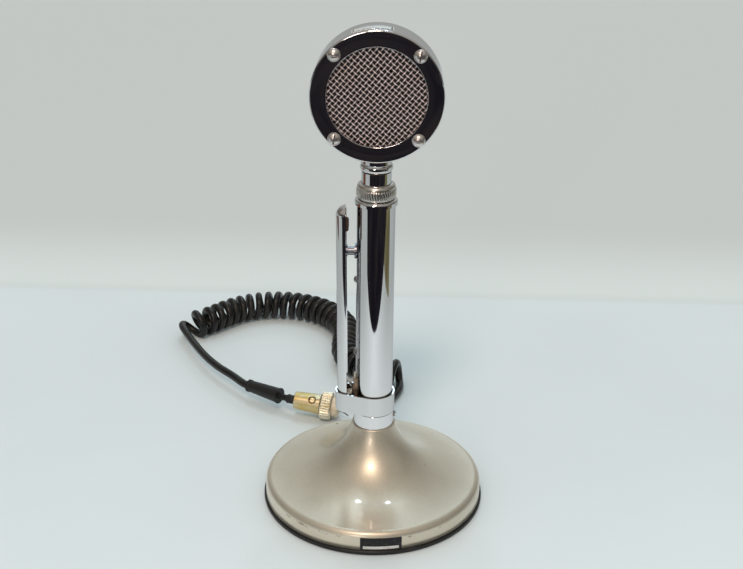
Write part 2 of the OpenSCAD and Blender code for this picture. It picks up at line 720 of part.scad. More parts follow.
// Leaf that pushes the bar outwards. It runs from the foot on the saddle into the channel.
module return_spring() {
    root_x = saddle_x - spring_foot_t / 2 + spring_t / 2;
    seat_x = bar_x - sqrt(pow(bar_inner_r, 2) - pow(spring_w / 2, 2));
    tip_x = seat_x - (spring_tip_z - pivot_z) * tan(bar_lean) + 0.12 + spring_t;
    knee_x = tip_x + 0.5;
    color([0.8, 0.8, 0.78]) translate([0, spring_w / 2, 0]) rotate([90, 0, 0])
        linear_extrude(height = spring_w) polygon([[root_x, spring_root_z],
            [knee_x, spring_knee_z], [tip_x, spring_tip_z], [tip_x - spring_t, spring_tip_z],
            [knee_x - spring_t, spring_knee_z], [root_x - spring_t, spring_root_z]]);
}
module grip_bar() {
    color([0.88, 0.89, 0.9]) lean() intersection() {
        difference() {
            union() {
                translate([bar_x, 0, bar_bottom]) cylinder(r = bar_r, h = bar_top - bar_r - bar_bottom);
                translate([bar_x, 0, bar_top - bar_r]) sphere(r = bar_r);
            }
            translate([bar_x, 0, bar_bottom - cut])
                cylinder(r = bar_inner_r, h = bar_top - bar_r - bar_bottom + cut);
            translate([bar_x, 0, bar_top - bar_r]) sphere(r = bar_inner_r);
        }
        translate([-bar_out - cut, -2 * bar_r, bar_bottom - cut])
            cube([bar_depth + cut, 4 * bar_r, bar_top]);
    }
}
// Rubber button that stops the bar against the tube
module bar_bumper() {
    edge = 1;
    color([0.2, 0.12, 0.09]) intersection() {
        lean() translate([bar_x, 0, bumper_z - bumper_d])
            cylinder(r = bar_inner_r - 0.02, h = 2 * bumper_d);
        translate([bumper_x, 0, bumper_z]) rotate([0, -90, 0])
            turned([[0, 0], [bumper_d / 2 - edge, 0], [bumper_d / 2 - 0.3, 0.3],
                [bumper_d / 2, edge], [bumper_d / 2, bar_r + 2], [0, bar_r + 2]]);
    }
}
// Egg-shaped loop: a large end round the tube and a small end round the bar
module band_outline(grow) {
    d = -band_small_x;
    big = band_inner_r + grow;
    small = band_small_r + grow;
    a = acos((big - small) / d);
    union() {
        circle(r = big);
        translate([-d, 0]) circle(r = small);
        polygon([big * [-cos(a), sin(a)], big * [-cos(a), -sin(a)],
            [-d, 0] + small * [-cos(a), -sin(a)], [-d, 0] + small * [-cos(a), sin(a)]]);
    }
}
module lock_band() {
    color([0.86, 0.87, 0.88]) translate([0, 0, band_bottom]) difference() {
        linear_extrude(height = band_h) band_outline(band_t);
        translate([0, 0, -cut]) linear_extrude(height = band_h + 2 * cut) band_outline(0);
    }
}

// Plunger: a head that rests in the bar, a flange, and a stem that pushes the blade
module plunger_bushing() {
    color([0.8, 0.7, 0.45]) difference() {
        union() {
            rod_x(bushing_r, -tube_r - 0.1, -tube_inner_r + 1.2, plunger_z);
            rod_x(bushing_r + 1, -tube_r - 1, -tube_r + 0.1, plunger_z);
        }
        rod_x(plunger_r + run_gap, -tube_r - 1 - cut, 0, plunger_z);
        difference() {
            translate([0, 0, plunger_z - 6]) cylinder(r = tube_r + 0.02, h = 12);
            rod_x(bushing_r, -2 * tube_r, 0, plunger_z);
        }
    }
}
plunger_head_end = bar_back - (plunger_z - pivot_z) * tan(bar_lean) + 0.2;
module plunger() {
    head_len = -plunger_out - plunger_head_end;
    stem_len = plunger_tip + plunger_out;
    color([0.72, 0.72, 0.75]) translate([plunger_head_end, 0, plunger_z]) rotate([0, 90, 0])
        turned([[0, 0], [1.1, 0.08], [2.0, 0.5], [2.4, 1.3], [2.4, head_len - 1.4],
            [plunger_flange_d / 2, head_len - 1.4], [plunger_flange_d / 2, head_len],
            [plunger_r, head_len], [plunger_r, head_len + stem_len - 1.2],
            [1.4, head_len + stem_len - 0.4], [0.6, head_len + stem_len - 0.05],
            [0, head_len + stem_len]]);
}

// Switch inside the tube: a bracket, blades and insulators clamped by two screws
module switch_bracket() {
    low = switch_screw_low - 4;
    high = switch_screw_high + 4;
    w = 7;
    color([0.7, 0.66, 0.5]) difference() {
        intersection() {
            translate([0, 0, low]) cylinder(r = tube_inner_r - 0.02, h = high - low);
            translate([-tube_inner_r, -w / 2, low])
                cube([tube_inner_r + bracket_face, w, high - low]);
        }
        for (z = [switch_screw_low, switch_screw_high])
            rod_x(switch_screw_r + 0.02, -tube_inner_r - cut, 0, z);
        for (z = stack_screw_z) rod_x(stack_screw_r + 0.02, -tube_inner_r - cut, 0, z);
    }
}
module switch_screws() {
    color([0.78, 0.74, 0.68]) for (z = [switch_screw_low, switch_screw_high]) {
        rod_x(switch_screw_r, -tube_r - 0.2, bracket_face - 0.1, z);
        translate([-tube_r - 0.1, 0, z]) rotate([0, -90, 0]) round_head(2.2, 1.5, 0.7, 20);
    }
}
module stack_slab(x, t, low = stack_bottom, high = stack_top, w = stack_w) {
    difference() {
        translate([x, -w / 2, low]) cube([t, w, high - low]);
        for (z = stack_screw_z) rod_x(stack_screw_r + 0.05, x - cut, x + t + cut, z);
    }
}
module switch_insulators() {
    color([0.4, 0.22, 0.12]) {
        stack_slab(bracket_face, pad_t);
        stack_slab(rest_blade_x + blade_t, insulator_t);
        stack_slab(moving_blade_x + blade_t, make_blade_x - moving_blade_x - blade_t);
        stack_slab(make_blade_x + blade_t, insulator_t);
    }
}
module rest_blade() {
    color([0.8, 0.68, 0.4]) union() {
        stack_slab(rest_blade_x, blade_t, stack_bottom - 5, rest_z + 2.5, blade_w);
        rod_x(rivet_r, rest_blade_x + blade_t, moving_blade_x - 0.1, rest_z);
    }
}
module make_blade() {
    color([0.8, 0.68, 0.4]) union() {
        stack_slab(make_blade_x, blade_t, stack_bottom - 5, make_z + 2.5, blade_w);
        rod_x(rivet_r, make_blade_x - rivet_h, make_blade_x, make_z);
    }
}
// Clamped end of the moving blade, with its solder tail
module blade_tail() {
    color([0.8, 0.68, 0.4])
        stack_slab(moving_blade_x, blade_t, stack_bottom - 5, stack_top, blade_w);
}
module moving_blade() {
    low = blade_root_z + 0.15;
    color([0.85, 0.72, 0.42]) union() {
        translate([moving_blade_x, -blade_w / 2, low])
            cube([blade_t, blade_w, make_z + 3 - low]);
        rod_x(rivet_r, moving_blade_x + blade_t, moving_blade_x + blade_t + rivet_h, make_z);
    }
}
module switch_clamp_plate() {
    color([0.7, 0.7, 0.7]) stack_slab(clamp_x, clamp_t);
}
module stack_screws() {
    color([0.75, 0.72, 0.65]) for (z = stack_screw_z) {
        rod_x(stack_screw_r, bracket_face - 1, clamp_x + clamp_t + 0.1, z);
        translate([clamp_x + clamp_t, 0, z]) rotate([0, 90, 0]) round_head(2, 1.2, 0.6, 70);
    }
}
function pin_place(k) = pin_circle / 2 * heading(90 + 120 * k);
contact_z = insert_z - 3.6;
module stem_wires() {
    color([0.7, 0.15, 0.1]) for (k = [1, 2]) {
        e = pin_place(k);
        side = k == 1 ? -1 : 1;
        swept_tube(smooth([[4.6, side * 1.2, 92.2], [5.4, side * 2, 104], [7, side * 3.4, 124],
            [7, side * 3.4, 150], [6, side * 3, 174], [e[0], e[1], 186],
            [e[0], e[1], contact_z - 0.1]], 2), 0.7, 6, [1, 0, 0.001]);
    }
}

// Cap with a lip over the tube, a spigot in it and a threaded boss above
module tube_cap() {
    lip_r = lip_d / 2;
    round_r = 1.8;
    color([0.88, 0.89, 0.9]) rotate_extrude() difference() {
        union() {
            translate([0, tube_top - 9]) square([tube_inner_r - 0.03, 9.1]);
            translate([0, tube_top]) square([lip_r, lip_h - round_r]);
            translate([0, tube_top]) square([lip_r - round_r, lip_h]);
            intersection() {
                translate([lip_r - round_r, lip_top - round_r]) circle(r = round_r);
                translate([lip_r - round_r, lip_top - round_r]) square(round_r);
            }
            translate([0, tube_top]) square([boss_d / 2, boss_top - tube_top]);
        }
        translate([0, tube_top - 10]) square([cap_bore_r, insert_z - tube_top + 10]);
        translate([0, insert_z]) square([insert_r + seat_gap, boss_h + cut]);
    }
}
module socket_insert() {
    color([0.35, 0.2, 0.12]) difference() {
        translate([0, 0, insert_z]) cylinder(r = insert_r, h = boss_top - insert_z - 0.1);
        for (k = [0 : pins - 1]) translate([pin_place(k)[0], pin_place(k)[1], insert_z - cut])
            cylinder(r = contact_r + 0.02, h = boss_h + 2 * cut);
    }
}
module socket_contacts() {
    color([0.8, 0.7, 0.45]) for (k = [0 : pins - 1])
        translate([pin_place(k)[0], pin_place(k)[1], contact_z]) difference() {
            cylinder(r = contact_r, h = boss_top - contact_z - 0.1);
            translate([0, 0, 1]) cylinder(r = pin_r + run_gap, h = boss_top - contact_z);
        }
}
module coupling_nut() {
    dome_r = nut_r - neck_r - run_gap;
    band_low = nut_bottom_z + 2.2;
    band_high = nut_cavity_top - 1;
    color([0.8, 0.8, 0.78]) difference() {
        union() {
            rotate_extrude() intersection() {
                union() {
                    translate([0, nut_bottom_z])
                        polygon([[0, 0], [nut_r - 0.6, 0], [nut_r, 0.6],
                            [nut_r, nut_top - nut_bottom_z - dome_r * 0.75],
                            [0, nut_top - nut_bottom_z - dome_r * 0.75]]);
                    translate([neck_r, nut_top - dome_r]) circle(r = dome_r);
                    square([neck_r, nut_top]);
                }
                translate([0, nut_bottom_z]) square([nut_r, nut_top - nut_bottom_z]);
            }
            translate([0, 0, band_low])
                knurled(nut_r + knurl_depth, knurl_depth + 0.05, nut_ridges, band_high - band_low);
        }
        translate([0, 0, nut_bottom_z - cut])
            cylinder(r = nut_inner_r, h = nut_cavity_top - nut_bottom_z + cut);
        translate([0, 0, nut_cavity_top - cut]) cylinder(r = neck_r + 0.1, h = 6);
    }
}

// Neck sleeve: a flange under the nut, a plain sleeve, a bead and a spigot into the head
module neck_sleeve() {
    bead_r = bead_d / 2;
    ball = bead_h / 2 + 0.2;
    top = ring_nut_z + ring_nut_t + 0.3;
    color([0.86, 0.87, 0.88]) difference() {
        rotate_extrude() difference() {
            union() {
                translate([0, flange_z]) square([flange_r, flange_t]);
                translate([0, flange_z]) square([neck_r, bead_z - flange_z + 0.1]);
                intersection() {
                    translate([bead_r - ball, bead_z + bead_h / 2]) circle(r = ball);
                    translate([0, bead_z]) square([bead_r, bead_h]);
                }
                translate([0, bead_z]) square([bead_r - ball + 0.5, bead_h]);
                translate([0, bead_z + bead_h - 0.1])
                    square([neck_shoulder_r, head_z - head_r - bead_z]);
                translate([0, bead_z]) square([neck_spigot_r, top - bead_z]);
            }
            translate([0, flange_z - cut]) square([neck_bore_r, 60]);
        }
        difference() {
            disc_y(head_r + 0.02, -20, 20, z = head_z);
            translate([0, 0, bead_z]) cylinder(r = neck_spigot_r, h = 60);
        }
    }
}
ring_nut_z = head_z - sqrt(pow(head_r - shell_wall, 2) - pow(neck_r + 1, 2)) + 0.1;
ring_nut_t = 1.6;
module neck_ring_nut() {
    color([0.75, 0.72, 0.6]) translate([0, 0, ring_nut_z]) difference() {
        cylinder(r = neck_r + 1, h = ring_nut_t);
        translate([0, 0, -cut]) cylinder(r = neck_spigot_r + seat_gap, h = ring_nut_t + 2 * cut);
    }
}
plug_body_z = flange_z + 0.2;
plug_body_h = 4;
module neck_plug() {
    color([0.35, 0.2, 0.12]) difference() {
        translate([0, 0, plug_body_z]) cylinder(r = neck_bore_r - 0.02, h = plug_body_h);
        for (k = [0 : pins - 1]) translate([pin_place(k)[0], pin_place(k)[1], plug_body_z - cut])
            cylinder(r = pin_r + 0.02, h = plug_body_h + 2 * cut);
    }
}
module plug_pins() {
    color([0.82, 0.74, 0.5]) for (k = [0 : pins - 1])
        translate([pin_place(k)[0], pin_place(k)[1], flange_z - 5.4])
            cylinder(r = pin_r, h = 5.4 + plug_body_h + 1.8);
}

// Head shell: a shallow drum with a rounded back edge, four lugs and a ledge inside
module shell_profile(inset) {
    q = back_edge_r - inset;
    union() {
        translate([0, bezel_back]) square([head_r - back_edge_r, head_back - inset - bezel_back]);
        translate([0, bezel_back])
            square([head_r - inset, head_back - back_edge_r - bezel_back]);
        translate([head_r - back_edge_r, head_back - back_edge_r]) circle(r = q);
    }
}
module at_bezel_screws() {
    for (k = [0 : 3]) rotate([0, 0, 45 + 90 * k]) translate([bezel_screw_pitch_r, 0, 0]) children();
}
module head_shell() {
    color([0.8, 0.81, 0.82]) difference() {
        facing() union() {
            rotate_extrude() difference() {
                shell_profile(0);
                shell_profile(shell_wall);
            }
            rotate_extrude() translate([ledge_r, ledge_y])
                square([head_r - shell_wall - ledge_r + 0.3, ledge_t]);
            intersection() {
                at_bezel_screws() translate([0, 0, bezel_back]) cylinder(r = lug_r, h = 12);
                rotate_extrude() shell_profile(shell_wall / 2);
            }
        }
        facing() at_bezel_screws() translate([0, 0, bezel_back - cut])
            cylinder(r = bezel_screw_r + 0.05, h = 10 + cut);
        translate([0, 0, head_z - head_r - cut])
            cylinder(r = neck_spigot_r + seat_gap, h = back_edge_r);
        translate([0, 0, ring_nut_z - 0.05]) cylinder(r = neck_r + 1.3, h = ring_nut_t + 0.7);
    }
}
// Ring with bevelled edges, rebated behind for the grille
module bezel_ring() {
    outer = 1.2;
    inner = 0.9;
    open_r = bezel_opening_d / 2;
    front = -head_front;
    color([0.12, 0.12, 0.14]) facing() difference() {
        turned([[open_r, front + inner * 1.2], [open_r + inner, front], [head_r - outer, front],
            [head_r, front + outer], [head_r, bezel_back], [rebate_r, bezel_back],
            [rebate_r, bezel_back - rebate_depth], [open_r, bezel_back - rebate_depth]]);
        at_bezel_screws() translate([0, 0, front - cut])
            cylinder(r = bezel_screw_r + 0.2, h = bezel_t + 2 * cut);
    }
}
module bezel_screws() {
    color([0.85, 0.85, 0.86]) facing() at_bezel_screws() translate([0, 0, -head_front]) {
        translate([0, 0, -0.02]) cylinder(r = bezel_screw_r, h = bezel_t + 8);
        rotate([180, 0, 0]) round_head(bezel_screw_head_d / 2, bezel_screw_head_h, 0.9, 35);
    }
}

// Woven grille: wires pass over and under each other on a shallow dome, and end in a rim
mesh_edge_y = bezel_back - rebate_depth + 0.75;
mesh_half = mesh_wire / 2;
mesh_weave = mesh_half / (1 - mesh_wire / mesh_pitch) + 0.03;
mesh_end_r = (rim_r + rim_inner_r) / 2;
mesh_last_r = mesh_end_r - 1.6;
mesh_count = floor((mesh_last_r - 1) / mesh_pitch);
function dome_y(r) = mesh_edge_y - mesh_bulge * (1 - pow(r / mesh_end_r, 2));
function wire_stops(a) =
    let (l = sqrt(pow(mesh_end_r, 2) - a * a),
        n = floor(sqrt(pow(mesh_last_r, 2) - a * a) / mesh_pitch))
    concat([-l], [for (j = [-n : n]) j * mesh_pitch], [l]);
module mesh_wire_at(i, side) {
    a = i * mesh_pitch;
    stops = wire_stops(a);
    last = len(stops) - 1;
    n = (last - 2) / 2;
    points = [for (k = [0 : last])
        let (b = stops[k], j = k - 1 - n, flip = (i + j) % 2 == 0 ? 1 : -1,
            lift = k == 0 || k == last ? 0 : side * flip * mesh_weave)
        each [for (c = [[-1, -1], [1, -1], [1, 1], [-1, 1]])
            let (q = a + side * c[0] * mesh_half,
                h = dome_y(norm([q, b])) + lift + c[1] * mesh_half)
            side > 0 ? [q, b, h] : [b, q, h]]];
    polyhedron(points, tube_faces(last + 1, 4), convexity = 12);
}
module grille() {
    parts = 40;
    back = bezel_back - 0.1;
    front = bezel_back - rebate_depth + 0.1;
    color([0.78, 0.74, 0.72]) facing() union() {
        rotate([0, 0, mesh_turn]) for (i = [-mesh_count : mesh_count]) {
            mesh_wire_at(i, 1);
            mesh_wire_at(i, -1);
        }
        for (k = [0 : parts - 1]) hull() for (e = [0, 1])
            rotate([0, 0, 360 * (k + e) / parts])
                translate([rim_inner_r, -0.01, front]) cube([rim_r - rim_inner_r, 0.02, back - front]);
    }
}

// Crystal cartridge, held between the ledge and the gasket
module cartridge_gasket() {
    color([0.1, 0.1, 0.1]) facing() turned([[case_r - 1.2, bezel_back],
        [cartridge_flange_r, bezel_back], [cartridge_flange_r, case_front],
        [case_r - 1.2, case_front]]);
}
module cartridge_case() {
    color([0.72, 0.72, 0.7]) facing() turned([[0, case_back], [case_r - 1, case_back],
        [case_r, case_back - 1], [case_r, ledge_y], [cartridge_flange_r, ledge_y],
        [cartridge_flange_r, case_front], [cover_r + 0.05, case_front],
        [cover_r + 0.05, case_front + cover_t], [case_r - case_wall - 1, case_front + cover_t + 0.3],
        [case_r - case_wall - 1, case_front + cover_t + 2],
        [case_r - case_wall, case_front + cover_t + 2], [case_r - case_wall, case_floor],
        [0, case_floor]]);
}
module cartridge_cover() {
    hole_step = 5.2;
    color([0.75, 0.75, 0.74]) facing() difference() {
        translate([0, 0, case_front]) cylinder(r = cover_r, h = cover_t);
        for (ring = [0 : 3]) for (k = [0 : max(0, 6 * ring - 1)])
            translate([ring * hole_step * cos(60 * k / max(1, ring)),
                ring * hole_step * sin(60 * k / max(1, ring)), case_front - cut])
                cylinder(r = 1.4, h = cover_t + 2 * cut);
    }
}
module diaphragm() {
    t = 0.2;
    edge = case_r - case_wall - 1.1;
    color([0.85, 0.86, 0.88]) facing() turned([[0, diaphragm_y + diaphragm_depth],
        [1.6, diaphragm_y + diaphragm_depth], [edge - 3, diaphragm_y], [edge, diaphragm_y],
        [edge, diaphragm_y + t], [edge - 3, diaphragm_y + t],
        [1.6, diaphragm_y + diaphragm_depth + t], [0, diaphragm_y + diaphragm_depth + t]]);
}
module drive_pin() {
    start = diaphragm_y + diaphragm_depth + 0.2;
    color([0.8, 0.8, 0.8]) facing() translate([0, 0, start])
        cylinder(r = drive_pin_r, h = crystal_y - start);
}
// Square bimorph slab, glued by three corners and driven at its middle
module crystal_element() {
    color([0.86, 0.84, 0.78]) facing() rotate([0, 0, 45])
        translate([-crystal_size / 2, -crystal_size / 2, crystal_y])
            cube([crystal_size, crystal_size, crystal_t]);
}
module crystal_pads() {
    color([0.15, 0.15, 0.15]) facing() rotate([0, 0, 45]) for (c = [[-1, -1], [1, -1], [-1, 1]])
        translate([c[0] * (crystal_size - pad_size) / 2 - pad_size / 2,
            c[1] * (crystal_size - pad_size) / 2 - pad_size / 2, crystal_y + crystal_t])
            cube([pad_size, pad_size, case_floor - crystal_y - crystal_t]);
}
module head_wires() {
    color([0.1, 0.1, 0.1]) for (k = [1, 2]) {
        e = pin_place(k);
        side = k == 1 ? -1 : 1;
        top = plug_body_z + plug_body_h + 1.7;
        swept_tube(concat(smooth([[e[0], e[1], top], [side * 3, 0, top + 6],
            [side * 3, 2, head_z - 30], [side * 3.4, case_back + 2.2, head_z - 21],
            [side * 4, case_back + 2.6, head_z - 14], [side * 5, case_back + 2.2, head_z - 9],
            [side * 5, case_back + 1.2, head_z - 8]], 2), [[side * 5, case_back + 0.02, head_z - 8]]),
            0.6, 6, [0.3, 1, 0.001]);
    }
}

// Cord: a lead from the base, the curls, and a tail that ends in a sleeve and a plug
curl_start = curl_path[0];
curl_end = curl_path[len(curl_path) - 1];
module cord_lead() {
    path = concat([[0, grommet_face, cord_exit_z], [0, grommet_face + 3, cord_exit_z]],
        [for (p = lead_points) p], [curl_start - cord_d * curl_in]);
    color([0.09, 0.09, 0.09]) swept_tube(concat(smooth(path, 2), [curl_start - 0.02 * curl_in]),
        cord_r, cord_sides, [0, 0, 1]);
}
module cord_curls() {
    color([0.09, 0.09, 0.09]) curl_tube();
}
module cord_tail() {
    u = unit(sleeve_b - sleeve_a);
    path = concat([curl_end + 0.3 * cord_d * curl_out], [for (p = tail_points) p],
        [sleeve_a - 4 * u, sleeve_a - 1.5 * u]);
    color([0.09, 0.09, 0.09]) swept_tube(concat([curl_end + 0.02 * curl_out], smooth(path, 2),
        [sleeve_a - 0.02 * u]), cord_r, cord_sides, [0, 0, 1]);
}
// Stands its children's +Z axis along the line from one point to another
module along(a, b) {
    d = unit(b - a);
    translate(a) rotate([0, acos(d[2]), atan2(d[1], d[0])]) children();
}
module cord_sleeve() {
    l = norm(sleeve_b - sleeve_a);
    color([0.06, 0.06, 0.06]) along(sleeve_a, sleeve_b)
        turned([[0, 0], [sleeve_r1 - 0.3, 0], [sleeve_r1 + 0.4, 0.5], [sleeve_r1 + 0.4, 2],
            [sleeve_r1, 2.6], [sleeve_r2 - 0.4, l - 1], [sleeve_r2, l - 0.6], [sleeve_r2, l],
            [0, l]]);
}
module plug_frame() {
    translate(plug_at) rotate([0, 0, plug_turn]) rotate([0, 90 - plug_tilt, 0]) children();
}
core_r = 2.4;
bore_depth = 6;
drain_r = 0.6;
drain_side = 2.6;
insert_out_r = 7.2;
plug_neck_r = barrel_r - 1;
plug_web_t = 1.8;
plug_neck_h = plug_web_t + 2 * body_gap;
plug_end = barrel_len + body_gap + ring_len + 4.8;
function plug_dir() = [cos(plug_tilt) * cos(plug_turn), cos(plug_tilt) * sin(plug_turn),
    sin(plug_tilt)];
module plug_barrel() {
    at_screw = barrel_len * 0.7;
    top = barrel_r + (barrel_front_r - barrel_r) * 0.7;
    color([0.78, 0.64, 0.36]) plug_frame() {
        difference() {
            turned([[0, 0], [barrel_r - 0.5, 0], [barrel_r, 0.5], [barrel_front_r, barrel_len - 0.4],
                [barrel_front_r - 0.4, barrel_len], [plug_neck_r, barrel_len],
                [plug_neck_r, barrel_len + plug_neck_h], [0, barrel_len + plug_neck_h]]);
            translate([0, 0, -cut]) cylinder(r = core_r + seat_gap, h = bore_depth + cut);
            rotate([0, 0, plug_screw_turn]) translate([-top - cut, 0, at_screw]) rotate([0, 90, 0])
                cylinder(r = plug_screw_r + 0.2, h = cut + 2.6);
        }
        rotate([0, 0, plug_screw_turn]) translate([-top + 0.4, 0, at_screw]) rotate([0, 90, 0])
            difference() {
                cylinder(r = plug_screw_r, h = 2.2);
                translate([-3, -0.4, -cut]) cube([6, 0.8, cut + 0.7]);
            }
    }
}
// Ring that turns on the neck of the barrel, held by the flange of the insert
module plug_ring() {
    color([0.8, 0.68, 0.42]) plug_frame() translate([0, 0, barrel_len + body_gap]) difference() {
        union() {
            translate([0, 0, 0.6]) knurled(ring_r, 0.75, ring_ridges, ring_len - 1.2);
            cylinder(r = ring_r - 0.6, h = ring_len);
        }
        translate([0, 0, plug_web_t]) cylinder(r = ring_r - 2, h = ring_len);
        translate([0, 0, -cut]) cylinder(r = plug_neck_r + run_gap, h = plug_web_t + 2 * cut);
    }
}
module plug_insert() {
    start = barrel_len + plug_neck_h;
    color([0.9, 0.84, 0.72]) plug_frame() difference() {
        turned([[0, start], [insert_out_r, start], [insert_out_r, plug_end - 0.5],
            [insert_out_r - 0.5, plug_end], [0, plug_end]]);
        translate([drain_side, 0, plug_end - 2]) cylinder(r = drain_r + seat_gap, h = 2 + cut);
    }
}
// Cable core between the sleeve and the barrel, and the drain wire that sticks out in front
module cord_core() {
    d = plug_dir();
    u = unit(sleeve_b - sleeve_a);
    color([0.15, 0.15, 0.15]) {
        swept_tube(concat([sleeve_b + 0.02 * u], smooth([sleeve_b + 0.8 * u, sleeve_b + 3 * u,
            plug_at - 3 * d, plug_at - 0.8 * d], 2), [plug_at + (bore_depth - 0.1) * d]),
            core_r, 8, [0, 0, 1]);
        plug_frame() translate([drain_side, 0, plug_end - 1.9]) cylinder(r = drain_r, h = 9);
    }
}

base_rubber();
base_casting();
base_plate();
base_plate_screws();
stem_washer();
stem_nut();
cord_grommet();
cord_clamp();
inner_cable();
stem_collar();
collar_set_screw();
grip_tube();
hinge_bracket();
bracket_screws();
pivot_pin();
hinge_block();
return_spring();
grip_bar();
bar_bumper();
lock_band();
plunger_bushing();
plunger();
switch_bracket();
switch_screws();
switch_insulators();
rest_blade();
make_blade();
blade_tail();
moving_blade();
switch_clamp_plate();
stack_screws();
stem_wires();
tube_cap();
socket_insert();
socket_contacts();
coupling_nut();
neck_sleeve();
neck_ring_nut();
neck_plug();
plug_pins();
head_shell();
bezel_ring();
bezel_screws();
grille();
cartridge_gasket();
cartridge_case();
cartridge_cover();
diaphragm();
drive_pin();
crystal_element();
crystal_pads();
head_wires();
cord_lead();
cord_curls();
cord_tail();
cord_sleeve();
cord_core();
plug_barrel();
plug_ring();
plug_insert();
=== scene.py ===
"""Looks of the desk microphone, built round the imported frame.

Lengths are written in millimetres and turned into metres where a mesh is made, and materials
read places in metres. +Z is up, the mesh front of the head faces -Y, and the grip bar is on the
-X side of the stem.
"""

import json
import math

import bpy
import numpy as np
from mathutils import Matrix


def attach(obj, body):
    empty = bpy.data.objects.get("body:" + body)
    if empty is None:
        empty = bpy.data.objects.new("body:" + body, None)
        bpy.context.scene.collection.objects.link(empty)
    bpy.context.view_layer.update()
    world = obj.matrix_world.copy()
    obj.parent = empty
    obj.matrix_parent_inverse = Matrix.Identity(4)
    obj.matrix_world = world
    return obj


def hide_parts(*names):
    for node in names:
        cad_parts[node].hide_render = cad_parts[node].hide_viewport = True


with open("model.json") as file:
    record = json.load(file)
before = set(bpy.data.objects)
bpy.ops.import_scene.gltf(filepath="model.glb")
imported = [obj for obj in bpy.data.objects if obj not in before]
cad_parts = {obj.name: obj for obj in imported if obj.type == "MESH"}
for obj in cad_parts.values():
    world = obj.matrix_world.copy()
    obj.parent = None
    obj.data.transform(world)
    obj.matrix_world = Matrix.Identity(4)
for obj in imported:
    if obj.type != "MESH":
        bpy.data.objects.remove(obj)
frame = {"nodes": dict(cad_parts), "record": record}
bpy.context.view_layer.update()

MM = 0.001
TURN = 2 * math.pi

# Sizes that the new pieces share with the solids
BASE_R, WALL_TOP, SHOULDER_R = 67.1, 10.4, 4.5
BASE_TOP, BASE_NECK_R, FOOT_TOP, HUB_R = 50.8, 13.2, 3.0, 8.0
FLARE_REACH, FLARE_LIFT, FLARE_SPREAD, FLARE_DROP = 21.4, 2.7, 6.5, 23.6
HEAD_Z, HEAD_R = 257.2, 36.5
HEAD_FRONT, BEZEL_T, BEZEL_OPENING_R = -14.3, 3.3, 27.4
BEZEL_BACK = HEAD_FRONT + BEZEL_T
MESH_WIRE_R, MESH_BULGE, MESH_END_R, MESH_EDGE_Y = 0.33, 1.3, 28.5, BEZEL_BACK - 0.75
NUT_LOW, NUT_TOP, NUT_R, NUT_RIDGES = 196.4, 205.35, 11.0, 48
NECK_R = 8.5
CORD_R, CORD_EXIT_Z, GROMMET_FACE = 2.8, 8.4, 68.8
CURLS, CURL_R, CURL_Z = 32, 8.2, 11.1
BARREL_LEN, RING_R, RING_LEN, RING_WEB, RING_RIDGES = 18.8, 9.65, 8.0, 1.8, 30
PLUG_NECK_R, PLUG_END = 5.1, 31.9


# ---- Camera -------------------------------------------------------------------------------

CAMERA_AT = np.array([17.02, -628.65, 420.38])
CAMERA_PITCH, CAMERA_PAN, CAMERA_ROLL = math.radians(23.86), math.radians(-1.75), math.radians(0.63)
CAMERA_LENS, CAMERA_SENSOR = 56.98, 36
CAMERA_NEAR, CAMERA_FAR = 0.01, 50


def make_camera():
    """The photograph's camera: its axis is turned by pan and pitch, then rolled about itself."""
    ahead = np.array([math.sin(CAMERA_PAN) * math.cos(CAMERA_PITCH),
                      math.cos(CAMERA_PAN) * math.cos(CAMERA_PITCH), -math.sin(CAMERA_PITCH)])
    right = np.array([math.cos(CAMERA_PAN), -math.sin(CAMERA_PAN), 0.0])
    up = np.cross(right, ahead)
    c, s = math.cos(CAMERA_ROLL), math.sin(CAMERA_ROLL)
    right, up = right * c + up * s, up * c - right * s
    lens = bpy.data.cameras.new("photo_camera")
    lens.lens, lens.sensor_width, lens.sensor_fit = CAMERA_LENS, CAMERA_SENSOR, "HORIZONTAL"
    lens.clip_start, lens.clip_end = CAMERA_NEAR, CAMERA_FAR
    camera = bpy.data.objects.new("photo_camera", lens)
    turn = np.eye(4)
    turn[:3, 0], turn[:3, 1], turn[:3, 2], turn[:3, 3] = right, up, -ahead, CAMERA_AT * MM
    camera.matrix_world = Matrix(turn.tolist())
    bpy.context.scene.collection.objects.link(camera)
    bpy.context.scene.camera = camera


make_camera()


# ---- Meshes from arrays --------------------------------------------------------------------


def grid_faces(rows, columns, wrap_rows=False, wrap_columns=False, flip=False):
    """Quads between neighbouring points of a grid: point (i, j) has the index i * columns + j."""
    i = np.arange(rows if wrap_rows else rows - 1)[:, None]
    j = np.arange(columns if wrap_columns else columns - 1)[None, :]
    i2, j2 = (i + 1) % rows, (j + 1) % columns
    quads = np.stack(np.broadcast_arrays(i * columns + j, i * columns + j2,
                                         i2 * columns + j2, i2 * columns + j), axis=-1)
    quads = quads.reshape(-1, 4)
    return quads[:, ::-1] if flip else quads


def add_piece(name, points, faces, body, finish, uv=None, caps=()):
    """Mesh piece from an array of points in millimetres and an array of quads.

    caps are rings of point indices that close an open end. uv has one pair for each point.
    """
    points = np.asarray(points, float).reshape(-1, 3) * MM
    polygons = [tuple(face) for face in faces.tolist()] + [tuple(ring) for ring in caps]
    mesh = bpy.data.meshes.new(name)
    mesh.from_pydata(points.tolist(), [], polygons)
    mesh.polygons.foreach_set("use_smooth", np.ones(len(mesh.polygons), bool))
    if uv is not None:
        corner = np.zeros(len(mesh.loops), np.int32)
        mesh.loops.foreach_get("vertex_index", corner)
        layer = mesh.uv_layers.new(name="along_and_round")
        layer.data.foreach_set("uv", np.asarray(uv, np.float32).reshape(-1, 2)[corner].ravel())
    mesh.materials.append(finish)
    mesh.update()
    piece = bpy.data.objects.new(name, mesh)
    bpy.context.scene.collection.objects.link(piece)
    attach(piece, body)
    return piece


